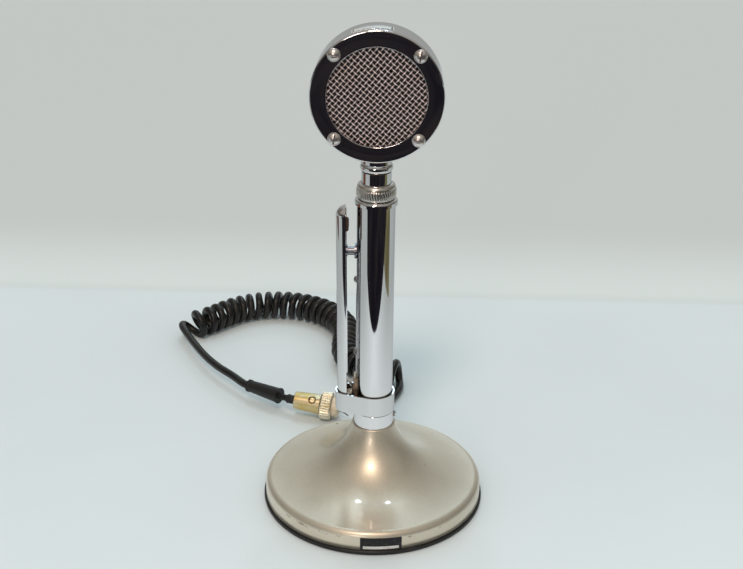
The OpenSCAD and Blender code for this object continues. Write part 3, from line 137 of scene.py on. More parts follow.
def unit(v):
    """Vectors of length one."""
    return v / np.linalg.norm(v, axis=-1, keepdims=True)


def path_heading(path):
    """Heading at each point of a path: the mean of the unit steps before and after it."""
    step = unit(np.diff(path, axis=0))
    return unit(np.vstack([step[:1], step[1:] + step[:-1], step[-1:]]))


def tube_points(path, radius, sides, reference):
    """Rings round a path: point + radius * (cos a * u + sin a * v), where u is the reference
    direction made square to the heading d, v = d x u, and a runs once round."""
    d = path_heading(path)
    reference = np.broadcast_to(reference, path.shape)
    u = unit(reference - (reference * d).sum(1, keepdims=True) * d)
    v = np.cross(d, u)
    a = TURN * np.arange(sides) / sides
    ring = np.cos(a)[None, :, None] * u[:, None] + np.sin(a)[None, :, None] * v[:, None]
    return path[:, None] + np.reshape(radius, (-1, 1, 1)) * ring


def add_tube(name, path, radius, sides, reference, body, finish):
    """Closed tube along a path. Its UV runs in metres along it and once round it."""
    rings = tube_points(path, radius, sides, reference)
    n = len(path)
    along = np.concatenate([[0], np.cumsum(np.linalg.norm(np.diff(path, axis=0), axis=1))]) * MM
    uv = np.stack(np.broadcast_arrays(along[:, None], np.arange(sides)[None, :] / sides), axis=-1)
    caps = [list(range(sides))[::-1], list(range((n - 1) * sides, n * sides))]
    return add_piece(name, rings, grid_faces(n, sides, wrap_columns=True), body, finish,
                     uv=uv, caps=caps)


def lathe_points(outline, steps, swell=None):
    """Outline of (radius, height) pairs turned about +Z: (r cos a, r sin a, h), with a swell
    of the radius that may depend on the angle and on the place along the outline."""
    outline = np.asarray(outline, float)
    a = TURN * np.arange(steps) / steps
    r = np.broadcast_to(outline[:, :1], (len(outline), steps)).copy()
    if swell is not None:
        r += swell(a[None, :], outline)
    return np.stack([r * np.cos(a), r * np.sin(a),
                     np.broadcast_to(outline[:, 1:], r.shape)], axis=-1)


def rounded(outline, radius, steps):
    """Closed outline whose corners are quadratic curves: (1-t)^2 A + 2t(1-t) P + t^2 B, where A
    and B are the points at the distance r from the corner P, or just under half an edge if that
    is less, towards its neighbours."""
    p = np.asarray(outline, float)
    before, after = np.roll(p, 1, axis=0), np.roll(p, -1, axis=0)
    reach = np.broadcast_to(radius, len(p))[:, None]
    reach_in = np.minimum(reach, 0.49 * np.linalg.norm(before - p, axis=1, keepdims=True))
    reach_out = np.minimum(reach, 0.49 * np.linalg.norm(after - p, axis=1, keepdims=True))
    a, b = p + reach_in * unit(before - p), p + reach_out * unit(after - p)
    t = np.linspace(0, 1, steps)[None, :, None]
    curve = (1 - t) ** 2 * a[:, None] + 2 * t * (1 - t) * p[:, None] + t ** 2 * b[:, None]
    return curve.reshape(-1, 2)


def smooth_path(points, steps):
    """Catmull-Rom curve through given points, with that many steps between two points."""
    p = np.asarray(points, float)
    i = np.arange(len(p) - 1)
    a, b, c, d = p[np.maximum(i - 1, 0)], p[i], p[i + 1], p[np.minimum(i + 2, len(p) - 1)]
    t = (np.arange(steps) / steps)[None, :, None]
    a, b, c, d = (q[:, None] for q in (a, b, c, d))
    curve = 0.5 * (2 * b + t * (c - a) + t ** 2 * (2 * a - 5 * b + 4 * c - d)
                   + t ** 3 * (3 * b - a - 3 * c + d))
    return np.vstack([curve.reshape(-1, 3), p[-1:]])


def relaxed(path, step, passes):
    """Path spaced evenly, then each inner point set to half itself and a quarter of each
    neighbour, a few times over, as a stiff cord evens out its bends."""
    along = np.concatenate([[0], np.cumsum(np.linalg.norm(np.diff(path, axis=0), axis=1))])
    even = np.linspace(0, along[-1], int(round(along[-1] / step)) + 1)
    path = np.stack([np.interp(even, along, path[:, k]) for k in range(3)], axis=-1)
    for _ in range(passes):
        path[1:-1] = 0.25 * path[:-2] + 0.5 * path[1:-1] + 0.25 * path[2:]
    return path


# ---- Finishes -----------------------------------------------------------------------------


def add_node(tree, kind, inputs, settings):
    """New node with its settings and its inputs: a value is set, and an output is linked."""
    made = tree.nodes.new("ShaderNode" + kind)
    for key, value in settings.items():
        setattr(made, key, value)
    for key, value in dict(inputs).items():
        if isinstance(value, bpy.types.NodeSocket):
            tree.links.new(value, made.inputs[key])
        else:
            made.inputs[key].default_value = value
    return made


class Finish:
    """A procedural material: plain values on the shader's sockets, and patterns fed to others.
    A scale is in spots for each metre, and a place is in metres."""

    def __init__(self, name, **sockets):
        self.material = bpy.data.materials.new(name)
        self.material.use_nodes = True
        self.tree = self.material.node_tree
        self.shader = self.tree.nodes["Principled BSDF"]
        for socket, value in sockets.items():
            socket = socket.replace("_", " ").title().replace("Ior", "IOR")
            value = (*value, 1) if isinstance(value, tuple) else value
            self.shader.inputs[socket].default_value = value
        self.normal = None

    def node(self, kind, inputs=(), **settings):
        """New node of this material."""
        return add_node(self.tree, kind, inputs, settings)

    def place(self, stretch=(1, 1, 1), where="Object"):
        """Place on the piece, stretched along the axes."""
        return self.node("Mapping", {"Vector": self.node("TexCoord").outputs[where],
                                     "Scale": stretch}).outputs["Vector"]

    def noise(self, scale, detail=3.0, stretch=(1, 1, 1), where="Object"):
        """Cloudy noise from 0 to 1, in spots of about 1 / scale metres."""
        return self.node("TexNoise", {"Vector": self.place(stretch, where), "Scale": scale,
                                      "Detail": detail}).outputs["Fac"]

    def cells(self, scale, output="Distance"):
        """Distance to the nearest of scattered points, or a random colour for each of them."""
        cells = self.node("TexVoronoi", {"Vector": self.place(), "Scale": scale})
        return cells.outputs[output]

    def part(self, which, where="Object"):
        """One coordinate of the place, X, Y or Z."""
        xyz = self.node("SeparateXYZ", {"Vector": self.node("TexCoord").outputs[where]})
        return xyz.outputs[which]

    def spread(self, value, low, high, to_low=0.0, to_high=1.0, smooth=False):
        """Value taken from low .. high to another range, and held at its ends."""
        return self.node("MapRange", {"Value": value, "From Min": low, "From Max": high,
                                      "To Min": to_low, "To Max": to_high},
                         interpolation_type="SMOOTHSTEP" if smooth else "LINEAR").outputs["Result"]

    def calc(self, operation, a, b=0.0):
        """Sum, product or other operation on two values."""
        return self.node("Math", {0: a, 1: b}, operation=operation).outputs["Value"]

    def blend(self, share, a, b):
        """Colour a where share is 0 and colour b where it is 1."""
        a, b = ((*c, 1) if isinstance(c, tuple) else c for c in (a, b))
        return self.node("Mix", {"Factor": share, 6: a, 7: b}, data_type="RGBA").outputs[2]

    def multiplied(self, a, b):
        """Colour a times b."""
        return self.node("Mix", {"Factor": 1.0, 6: a, 7: b}, data_type="RGBA",
                         blend_type="MULTIPLY").outputs[2]

    def feed(self, socket, value):
        """Link a pattern to one of the shader's sockets."""
        self.tree.links.new(value, self.shader.inputs[socket])

    def bump(self, height, depth, strength):
        """Relief of that depth in millimetres, over any relief already there."""
        inputs = {"Height": height, "Distance": depth * MM, "Strength": strength}
        if self.normal is not None:
            inputs["Normal"] = self.normal
        self.normal = self.node("Bump", inputs).outputs["Normal"]
        self.feed("Normal", self.normal)


def polished_chrome(name, smear=(0.03, 0.10), tint=(0.73, 0.725, 0.73)):
    """Bright plate with faint smears and a few pits."""
    chrome = Finish(name, metallic=1.0, base_color=tint, specular_tint=(0.62, 0.62, 0.64))
    cloud = chrome.noise(55, 4, stretch=(1, 1, 0.35))
    chrome.feed("Roughness", chrome.spread(cloud, 0.35, 0.7, *smear))
    pits = chrome.spread(chrome.cells(420), 0.03, 0.07)
    haze = chrome.spread(chrome.noise(14, 3), 0.45, 0.75, 0.0, 0.35)
    colour = chrome.blend(haze, tint, tuple(0.9 * c for c in tint))
    chrome.feed("Base Color", chrome.blend(pits, (0.25, 0.22, 0.2), colour))
    chrome.bump(pits, 0.02, 0.4)
    return chrome.material


def taupe_paint():
    """Metallic stove enamel: warm taupe, with flakes, cloudy patches, specks and scuffs."""
    light, dark = (0.65, 0.595, 0.485), (0.57, 0.52, 0.42)
    paint = Finish("taupe_enamel", metallic=0.8, coat_weight=0.4, coat_roughness=0.06)
    flake = paint.node("SeparateColor", {"Color": paint.cells(2600, "Color")}).outputs[0]
    flake = paint.spread(flake, 0, 1, 0.94, 1.06)
    colour = paint.blend(paint.spread(paint.noise(22, 5), 0.35, 0.68), light, dark)
    colour = paint.multiplied(colour, flake)
    specks = paint.calc("MULTIPLY", paint.spread(paint.cells(62), 0.035, 0.06, 1, 0),
                        paint.spread(paint.noise(33, 1), 0.5, 0.53))
    colour = paint.blend(specks, colour, (0.10, 0.075, 0.05))
    # Scuffs where the upright wall turns into the shoulder
    edge = paint.calc("MULTIPLY", paint.spread(paint.part("Z"), 0.0096, 0.0106, smooth=True),
                      paint.spread(paint.part("Z"), 0.0118, 0.0108, smooth=True))
    scuff = paint.calc("MULTIPLY", edge, paint.spread(paint.noise(160, 4), 0.56, 0.66, 0, 0.75))
    paint.feed("Base Color", paint.blend(scuff, colour, (0.16, 0.11, 0.075)))
    paint.feed("Roughness", paint.spread(paint.noise(70, 3), 0.3, 0.75, 0.36, 0.46))
    paint.bump(paint.noise(420, 2), 0.012, 0.3)
    paint.bump(specks, 0.05, 0.6)
    return paint.material


def satin_rubber(name, base=(0.009, 0.009, 0.0095), worn=(0.03, 0.029, 0.027), rough=(0.36, 0.55)):
    """Moulded rubber, a little paler where it is rubbed."""
    rubber = Finish(name, specular_ior_level=0.3)
    rub = rubber.noise(90, 5)
    rubber.feed("Base Color", rubber.blend(rubber.spread(rub, 0.5, 0.78), base, worn))
    rubber.feed("Roughness", rubber.spread(rub, 0.3, 0.7, *rough))
    rubber.bump(rubber.noise(900, 2), 0.03, 0.5)
    return rubber.material


def cord_jacket():
    """Black cord jacket: long faint pale streaks that follow the cord, a painted sheen where the
    rubber is also rougher, and a greenish brown cast.
    """
    jacket = Finish("cord_jacket", specular_ior_level=0.34)
    sheen_streak = jacket.noise(1, 4, stretch=(60, 9, 1), where="UV")
    cast = jacket.noise(35, 3)
    black = jacket.blend(jacket.spread(cast, 0.4, 0.7), (0.006, 0.006, 0.0065),
                         (0.013, 0.012, 0.009))
    # The pale streaks in the colour are a painted sheen along the cord
    jacket.feed("Base Color", jacket.blend(jacket.spread(sheen_streak, 0.55, 0.85), black,
                                           (0.035, 0.034, 0.03)))
    jacket.feed("Roughness", jacket.spread(sheen_streak, 0.3, 0.75, 0.27, 0.46))
    jacket.bump(jacket.noise(1, 2, stretch=(240, 30, 1), where="UV"), 0.04, 0.5)
    return jacket.material


def worn_brass(name, yellow=(0.60, 0.47, 0.19), nickel=(0.60, 0.53, 0.36), share=(0.36, 0.62)):
    """Thin nickel plate that has worn through to yellow brass, with brown tarnish. It gives the
    finish itself, because the barrel's gets a painted shade ring round its screw."""
    brass = Finish(name, metallic=1.0)
    wear = brass.noise(110, 5, stretch=(1, 1.6, 1.6))
    colour = brass.blend(brass.spread(wear, *share), nickel, yellow)
    tarnish = brass.spread(brass.noise(260, 4), 0.6, 0.78, 0, 0.6)
    brass.feed("Base Color", brass.blend(tarnish, colour, (0.29, 0.2, 0.09)))
    brass.feed("Roughness", brass.spread(wear, 0.3, 0.7, 0.34, 0.5))
    brass.bump(brass.noise(700, 2), 0.02, 0.4)
    return brass


def screw_shade_ring(brass, at):
    """Painted shade: a dark ring round a sunk screw's recess, at a point in millimetres."""
    away = brass.node("VectorMath", {0: brass.place(), 1: at * MM}, operation="DISTANCE")
    away = away.outputs["Value"]
    # The ring is painted shade where the screw's recess would darken
    recess_shade = brass.calc("MULTIPLY", brass.spread(away, 0.0016, 0.002),
                      brass.spread(away, 0.0031, 0.0024))
    colour = brass.shader.inputs["Base Color"].links[0].from_socket
    brass.feed("Base Color", brass.blend(recess_shade, colour, (0.05, 0.035, 0.02)))


def satin_steel(name, steel=(0.56, 0.55, 0.53), stain=(0.34, 0.27, 0.2), share=(0.55, 0.8),
                rough=(0.24, 0.42)):
    """Drawn steel with fine lines and a little brown stain."""
    metal = Finish(name, metallic=1.0)
    stretch = (1, 1, 6)
    patch = metal.noise(120, 5)
    metal.feed("Base Color", metal.blend(metal.spread(patch, *share), steel, stain))
    metal.feed("Roughness", metal.spread(metal.noise(300, 2, stretch), 0.3, 0.7, *rough))
    metal.bump(metal.noise(700, 2, stretch), 0.015, 0.35)
    return metal.material


def moulded(name, base, fleck, rough=(0.4, 0.6)):
    """Moulded or laminated insulation with a fine fleck."""
    piece = Finish(name)
    cloud = piece.noise(240, 4)
    piece.feed("Base Color", piece.blend(piece.spread(cloud, 0.45, 0.7), base, fleck))
    piece.feed("Roughness", piece.spread(cloud, 0.3, 0.7, *rough))
    piece.bump(piece.noise(960, 2), 0.02, 0.5)
    return piece.material


def plated_wire():
    """Wire of the mesh: old silvery plate with a pink cast, with painted shade where it dips
    under. The second UV coordinate is 1 on the tops of the weave and 0 in its hollows."""
    wire = Finish("plated_wire", metallic=0.3)
    tone = wire.noise(220, 4)
    edge = wire.noise(28, 2)
    colour = wire.blend(wire.spread(tone, 0.35, 0.7), (0.98, 0.86, 0.85), (0.76, 0.62, 0.61))
    colour = wire.blend(wire.spread(edge, 0.55, 0.75, 0, 0.6), colour, (0.66, 0.45, 0.3))
    # Painted shade: the wire darkens from the tops of the weave down into its hollows
    over = wire.part("Y", "UV")
    hollow_shade = wire.blend(wire.spread(over, 0.05, 0.5, smooth=True), (0.19, 0.13, 0.12),
                       (0.36, 0.275, 0.265))
    wire.feed("Base Color", wire.blend(wire.spread(over, 0.6, 1.0, smooth=True), hollow_shade, colour))
    wire.feed("Roughness", wire.spread(tone, 0.3, 0.7, 0.28, 0.42))
    return wire.material


def bare_label():
    """Black plate with a pale empty strip along its lower third."""
    label = Finish("bare_label", specular_ior_level=0.2)
    across, up = label.part("X", "UV"), label.part("Y", "UV")

    def inside(value, low, high, soft):
        """1 between low and high and 0 outside them, with edges twice as wide as soft."""
        return label.calc("MULTIPLY", label.spread(value, low - soft, low + soft),
                          label.spread(value, high + soft, high - soft))

    strip = label.calc("MULTIPLY", inside(across, 0.07, 0.93, 0.006), inside(up, 0.10, 0.33, 0.02))
    cloud = label.noise(700, 4)
    black = label.blend(label.spread(cloud, 0.5, 0.75), (0.012, 0.012, 0.014), (0.04, 0.038, 0.036))
    pale = label.blend(label.spread(cloud, 0.35, 0.7), (0.62, 0.60, 0.58), (0.46, 0.44, 0.41))
    label.feed("Base Color", label.blend(strip, black, pale))
    label.feed("Roughness", label.spread(cloud, 0.3, 0.7, 0.45, 0.6))
    label.bump(strip, 0.03, 0.8)
    return label.material


def outlined_chrome():
    """The chrome of the shell with a thin dark outline, as on an empty nameplate."""
    panel = Finish("outlined_chrome", metallic=1.0)
    across, up = panel.part("X", "UV"), panel.part("Y", "UV")

    def inside(value, low, high, soft=0.012):
        """1 between low and high and 0 outside them, with edges as wide as soft."""
        return panel.calc("MULTIPLY", panel.spread(value, low, low + soft),
                          panel.spread(value, high, high - soft))

    outer = panel.calc("MULTIPLY", inside(across, 0.02, 0.98), inside(up, 0.05, 0.95))
    inner = panel.calc("MULTIPLY", inside(across, 0.055, 0.945), inside(up, 0.14, 0.86))
    edge = panel.calc("SUBTRACT", outer, inner)
    cloud = panel.noise(60, 4)
    plate = panel.blend(panel.spread(cloud, 0.4, 0.7), (0.86, 0.865, 0.865), (0.78, 0.78, 0.78))
    panel.feed("Base Color", panel.blend(edge, plate, (0.03, 0.028, 0.026)))
    panel.feed("Metallic", panel.spread(edge, 0, 1, 1, 0))
    panel.feed("Roughness", panel.spread(cloud, 0.3, 0.7, 0.2, 0.3))
    panel.bump(edge, -0.05, 0.8)
    return panel.material


CHROME = polished_chrome("bright_chrome")
TUBE_CHROME = polished_chrome("tube_chrome", smear=(0.025, 0.07))
BAND_CHROME = polished_chrome("rubbed_chrome", smear=(0.10, 0.2), tint=(0.655, 0.66, 0.655))
NUT_CHROME = polished_chrome("knurled_chrome", smear=(0.2, 0.36), tint=(0.66, 0.63, 0.59))
SHELL_CHROME = polished_chrome("shell_chrome", smear=(0.06, 0.2), tint=(0.80, 0.795, 0.78))
SCREW_NICKEL = satin_steel("satin_nickel", steel=(0.74, 0.71, 0.69), stain=(0.5, 0.44, 0.4),
                           rough=(0.26, 0.4))
DARK_STEEL = satin_steel("dark_steel", steel=(0.26, 0.27, 0.31), stain=(0.15, 0.14, 0.14))
PAINT = taupe_paint()
RUBBER = satin_rubber("foot_rubber")
JACKET = cord_jacket()
SLEEVE_RUBBER = satin_rubber("sleeve_rubber", base=(0.012, 0.012, 0.012), rough=(0.4, 0.6))
BROWN_RUBBER = satin_rubber("brown_rubber", base=(0.055, 0.028, 0.018), worn=(0.12, 0.07, 0.045),
                            rough=(0.5, 0.75))
BARREL_BRASS = worn_brass("barrel_brass")
RING_BRASS = worn_brass("ring_brass", nickel=(0.68, 0.64, 0.50), share=(0.56, 0.8)).material
INSIDE_BRASS = worn_brass("contact_brass", yellow=(0.66, 0.5, 0.24),
                          nickel=(0.7, 0.56, 0.3)).material
STEEL = satin_steel("satin_steel")
STAINED_STEEL = satin_steel("stained_steel", steel=(0.42, 0.33, 0.25), stain=(0.2, 0.11, 0.06),
                            share=(0.4, 0.62), rough=(0.35, 0.6))
ALUMINIUM = satin_steel("case_aluminium", steel=(0.72, 0.72, 0.72), stain=(0.6, 0.6, 0.58))
DARK_FOIL = satin_steel("dark_foil", steel=(0.06, 0.055, 0.05), stain=(0.035, 0.03, 0.025))
DARK_COVER = moulded("dark_cover", (0.012, 0.012, 0.013), (0.03, 0.028, 0.028), (0.6, 0.8))
CREAM = moulded("cream_insulator", (0.66, 0.56, 0.42), (0.52, 0.42, 0.29), (0.38, 0.55))
PHENOLIC = moulded("brown_phenolic", (0.2, 0.1, 0.05), (0.12, 0.06, 0.03))
RED_WIRE = moulded("red_wire_cover", (0.34, 0.04, 0.03), (0.26, 0.03, 0.025))
CRYSTAL = moulded("waxed_crystal", (0.72, 0.69, 0.6), (0.6, 0.56, 0.46))
WIRE = plated_wire()

SLOT_FINISHES = {
    "foot_rubber": RUBBER, "base_paint": PAINT, "plain_steel": STEEL, "aged_steel": STAINED_STEEL,
    "bright_chrome": CHROME, "plain_brass": INSIDE_BRASS, "plug_brass": BARREL_BRASS.material,
    "cream_insert": CREAM, "brown_rubber": BROWN_RUBBER, "brown_phenolic": PHENOLIC,
    "wire_cover": RED_WIRE, "case_aluminium": ALUMINIUM, "crystal": CRYSTAL, "mesh_wire": WIRE,
    "cord_rubber": JACKET,
}
OWN_FINISHES = {
    "grip_tube": TUBE_CHROME, "grip_bar": TUBE_CHROME, "lock_band": BAND_CHROME,
    "head_shell": SHELL_CHROME, "diaphragm": DARK_FOIL, "bezel_screws": SCREW_NICKEL,
    "plunger": DARK_STEEL, "plunger_bushing": DARK_STEEL, "cord_sleeve": SLEEVE_RUBBER,
    "cartridge_cover": DARK_COVER, "cartridge_gasket": DARK_COVER,
}


def dress_nodes():
    """Each solid of the frame gets its own finish, or that of its material slot."""
    for row in frame["record"]["subparts"]:
        mesh = frame["nodes"][row["node"]].data
        finish = OWN_FINISHES.get(row["node"], SLOT_FINISHES.get(row["material_slot"], STEEL))
        mesh.materials.clear()
        mesh.materials.append(finish)
        mesh.polygons.foreach_set("material_index", np.zeros(len(mesh.polygons), np.int32))


dress_nodes()


# ---- Cord and plug ------------------------------------------------------------------------

# The axis of the curls runs round two bends on the table, and the last curls lean at their tops
BEND_ONE_C, BEND_ONE_R = np.array([15.4, 177.4]), 42.4
BEND_TWO_C, BEND_TWO_R, BEND_TWO_TURN = np.array([-84.0, 194.0]), 57.0, math.radians(139)
RUN_ONE, RUN_TWO = 16.6, 28.5
LEAN_CURLS, LEAN_TOP, LEAN_DIR = 2, 8.0, np.array([-0.95, -0.3, 0.0])
# The lead starts inside the grommet, and the tail runs from the last curl towards the sleeve
LEAD_POINTS = [[0, GROMMET_FACE - 0.8, CORD_EXIT_Z], [0, GROMMET_FACE + 3, CORD_EXIT_Z],
               [0, 76, 8.2], [0.4, 84, 6.6], [2.6, 94, 4.2], [6.2, 104, 3.1], [10.2, 113.5, 2.9],
               [13.3, 121.4, 2.9], [15.3, 128.6, 2.9]]
TAIL_POINTS = [[-150.4, 212.7, 3.8], [-153.5, 214, 5.8], [-156.2, 214.1, 8], [-158.2, 213, 9.9],
               [-159.1, 210.6, 10.9], [-158.8, 207.8, 11.1], [-156.5, 201.9, 10.8],
               [-148.3, 186.2, 10.4], [-138.9, 168.4, 10.8], [-130.1, 153.6, 11.1],
               [-119, 138.5, 11.3], [-107, 125.7, 11.4]]
SLEEVE_A, SLEEVE_B = np.array([-93.3, 111.9, 11.2]), np.array([-69.3, 97.3, 11.4])
# How long the cord is straight before the sleeve, and how far it and the core reach into it
SLEEVE_RUN_UP, SLEEVE_OVERLAP, CORE_OVERLAP = 4, 2, 1.0
PLUG_AT = np.array([-57.9, 91.2, 11.95])
PLUG_TURN, PLUG_TILT = math.radians(-8.8), math.radians(-4.7)

# How finely the cord is cut up: points in each curl and between two given points, sides of
# the tube, and the spacing and rounds of evening out of the lead and the tail
CURL_STEPS, POINT_STEPS, CORD_SIDES = 28, 6, 16
EVEN_STEP, EVEN_ROUNDS = 1.0, 10
DOWN, UP = np.array([0, 0, -1.0]), np.array([0, 0, 1.0])


def curl_axis(s):
    """Point and heading of the axis of the curls at the lengths s: a quarter turn clockwise,
    C - R * (sin t, cos t) with t = length / R, a straight run, start + length * heading, a wider
    bend the other way, C + R * (cos t, sin t), and a straight run to the end."""
    arc_one, arc_two = BEND_ONE_R * math.pi / 2, BEND_TWO_R * BEND_TWO_TURN
    one = s / BEND_ONE_R
    two = (s - arc_one - RUN_ONE) / BEND_TWO_R
    first = BEND_ONE_C + BEND_ONE_R * np.stack([-np.sin(one), -np.cos(one)], axis=-1)
    run = BEND_ONE_C + np.stack([0 * s - BEND_ONE_R, s - arc_one], axis=-1)
    second = BEND_TWO_C + BEND_TWO_R * np.stack([np.cos(two), np.sin(two)], axis=-1)
    out = np.array([-math.sin(BEND_TWO_TURN), math.cos(BEND_TWO_TURN)])
    last_at = BEND_TWO_C + BEND_TWO_R * np.array([math.cos(BEND_TWO_TURN), math.sin(BEND_TWO_TURN)])
    last = last_at + (s - arc_one - RUN_ONE - arc_two)[:, None] * out
    turn = np.where(s < arc_one, math.pi - one, math.pi / 2
                    + np.clip(two, 0, BEND_TWO_TURN))[:, None]
    place = np.select([(s < arc_one)[:, None], (s < arc_one + RUN_ONE)[:, None],
                       (s < arc_one + RUN_ONE + arc_two)[:, None]], [first, run, second], last)
    return place, np.hstack([np.cos(turn), np.sin(turn)])


def curl_path():
    """Centre line of the curls, and which way is outwards on it: axis point + r * (cos a * side +
    sin a * up), with a going once round for each curl, and the last curls leaning outwards at
    their tops by lean * (1 - curls left / n) ** 2 * (1 + sin a) / 2."""
    total = BEND_ONE_R * math.pi / 2 + RUN_ONE + BEND_TWO_R * BEND_TWO_TURN + RUN_TWO
    k = np.arange(CURLS * CURL_STEPS + 1) / CURL_STEPS
    place, heading = curl_axis(k * total / CURLS)
    a = -math.pi / 2 - TURN * k
    side = np.stack([-heading[:, 1], heading[:, 0], 0 * k], axis=-1)
    outward = np.cos(a)[:, None] * side + np.sin(a)[:, None] * UP
    centre = np.column_stack([place, np.full(len(k), CURL_Z)])
    lean = LEAN_TOP * np.maximum(0, 1 - (CURLS - k) / LEAN_CURLS) ** 2 * (1 + np.sin(a)) / 2
    return centre + CURL_R * outward + lean[:, None] * LEAN_DIR, outward


def make_cord():
    """One tube from the base through the curls to the sleeve of the plug. It gives the piece and
    its centre line in metres."""
    curls, outward = curl_path()
    along = unit(SLEEVE_B - SLEEVE_A)
    lead = smooth_path([*LEAD_POINTS, curls[0]], POINT_STEPS)
    tail = smooth_path([curls[-1], *TAIL_POINTS, SLEEVE_A - SLEEVE_RUN_UP * along,
                        SLEEVE_A + SLEEVE_OVERLAP * along], POINT_STEPS)
    lead = relaxed(lead, EVEN_STEP, EVEN_ROUNDS)[:-1]
    tail = relaxed(tail, EVEN_STEP, EVEN_ROUNDS)[1:]
    path = np.vstack([lead, curls, tail])
    reference = np.vstack([np.tile(DOWN, (len(lead), 1)), outward, np.tile(DOWN, (len(tail), 1))])
    cord = add_tube("curly_cord", path, CORD_R, CORD_SIDES, reference, "stand",
                    JACKET)
    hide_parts("cord_lead", "cord_curls", "cord_tail")
    return cord, path * MM


cord, cord_path = make_cord()


def plug_place(points):
    """Points from the plug's own frame, whose +Z is its axis, to where the plug lies: turned
    about Y until the axis is level but for the tilt, turned about Z, and moved."""
    tilt = math.pi / 2 - PLUG_TILT
    about_y = np.array([[math.cos(tilt), 0, math.sin(tilt)], [0, 1, 0],
                        [-math.sin(tilt), 0, math.cos(tilt)]])
    about_z = np.array([[math.cos(PLUG_TURN), -math.sin(PLUG_TURN), 0],
                        [math.sin(PLUG_TURN), math.cos(PLUG_TURN), 0], [0, 0, 1]])
    return np.asarray(points, float) @ (about_z @ about_y).T + PLUG_AT


PLUG_AXIS = plug_place([[0, 0, 1]])[0] - PLUG_AT
# Where the sunk screw is: its turn, its distance from the axis and its share of the length
SCREW_TURN, SCREW_R, SCREW_SHARE = math.radians(41), 6.8, 0.7
# Painted shade round the barrel's sunk screw
screw_shade_ring(BARREL_BRASS, plug_place([[-SCREW_R * math.cos(SCREW_TURN),
                                       -SCREW_R * math.sin(SCREW_TURN),
                                       SCREW_SHARE * BARREL_LEN]])[0])


def make_cable_core():
    """Bare cable between the sleeve and the barrel, a tube whose radius steps up at a collar:
    thin + step / (1 + exp(-k (t - t0))) + lip * exp(-((t - t1) / w) ** 2), where t runs from 0 to
    1 along it. It ends inside the barrel."""
    thin, step, lip, inside_barrel = 2.25, 0.85, 0.3, 2.4
    along = unit(SLEEVE_B - SLEEVE_A)
    path = smooth_path([SLEEVE_B - CORE_OVERLAP * along, SLEEVE_B + 3 * along,
                        PLUG_AT - 3.2 * PLUG_AXIS, PLUG_AT - 0.4 * PLUG_AXIS], 12)
    path = np.vstack([path, [PLUG_AT + 3 * PLUG_AXIS]])
    t = np.linspace(0, 1, len(path))
    radius = (thin + step / (1 + np.exp(-(t - 0.52) * 60))
              + lip * np.exp(-((t - 0.57) / 0.035) ** 2))
    radius[-2:] = inside_barrel
    core = add_tube("cable_core", path, radius, 20, UP, "stand", SLEEVE_RUBBER)
    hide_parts("cord_core")
    return core


def make_drain_wire():
    """Thin bare wire that sticks out of the insert and bends down towards the table."""
    own = [[2.6, 0, PLUG_END - 1.9], [2.6, 0, PLUG_END + 1], [2.9, -0.2, PLUG_END + 3],
           [3.6, -0.5, PLUG_END + 5], [4.6, -0.8, PLUG_END + 7.2]]
    path = smooth_path(plug_place(own), POINT_STEPS)
    return add_tube("drain_wire", path, 0.5, 10, [0, 1.0, 0], "stand", DARK_STEEL)


def make_plug_ring():
    """Ring turned about the plug's axis, with rounded ridges on its band between two chamfers:
    r + d * (0.5 + 0.5 cos n a) ** 0.6."""
    depth, plain, gap = 0.75, 0.8, 0.3
    low, inner, neck = RING_R - depth, RING_R - 2, PLUG_NECK_R + 0.05
    outline = [[neck, 0], [low - 0.5, 0], [low, 0.6], [low, 1.0], [low, 1.01],
               [low, RING_LEN - 1.01], [low, RING_LEN - 1.0], [low, RING_LEN - 0.6],
               [low - 0.4, RING_LEN], [inner, RING_LEN], [inner, RING_WEB], [neck, RING_WEB]]
    outline = rounded(outline, 0.15, 4)

    def ridges(a, line):
        """Swell of the radius at the angle a."""
        on = (line[:, 0] > low - 0.02) & (line[:, 1] > plain) & (line[:, 1] < RING_LEN - plain)
        return on[:, None] * depth * (0.5 + 0.5 * np.cos(RING_RIDGES * a)) ** 0.6

    points = lathe_points(outline, RING_RIDGES * 10, ridges)
    points[..., 2] += BARREL_LEN + gap
    faces = grid_faces(*points.shape[:2], wrap_rows=True, wrap_columns=True)
    ring = add_piece("plug_ring_ridged", plug_place(points.reshape(-1, 3)), faces, "ring",
                     RING_BRASS)
    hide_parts("plug_ring")
    return ring


core, drain, ring = make_cable_core(), make_drain_wire(), make_plug_ring()


# ---- Head ---------------------------------------------------------------------------------

# The weave as it shows in the photograph, and how finely each wire is cut up. The wires lie flat
# over the last stretch before the rim
MESH_PITCH, MESH_TURN = 2.44, math.radians(40)
WIRE_RINGS, WIRE_SIDES, FLAT_AT_RIM = 170, 8, 1.2


def as_placed(points):
    """Points that are in their place already."""
    return points


def face_place(points):
    """Points from the head's own frame, whose +Z looks backwards, to the head."""
    return np.stack([points[..., 0], points[..., 2], HEAD_Z - points[..., 1]], axis=-1)


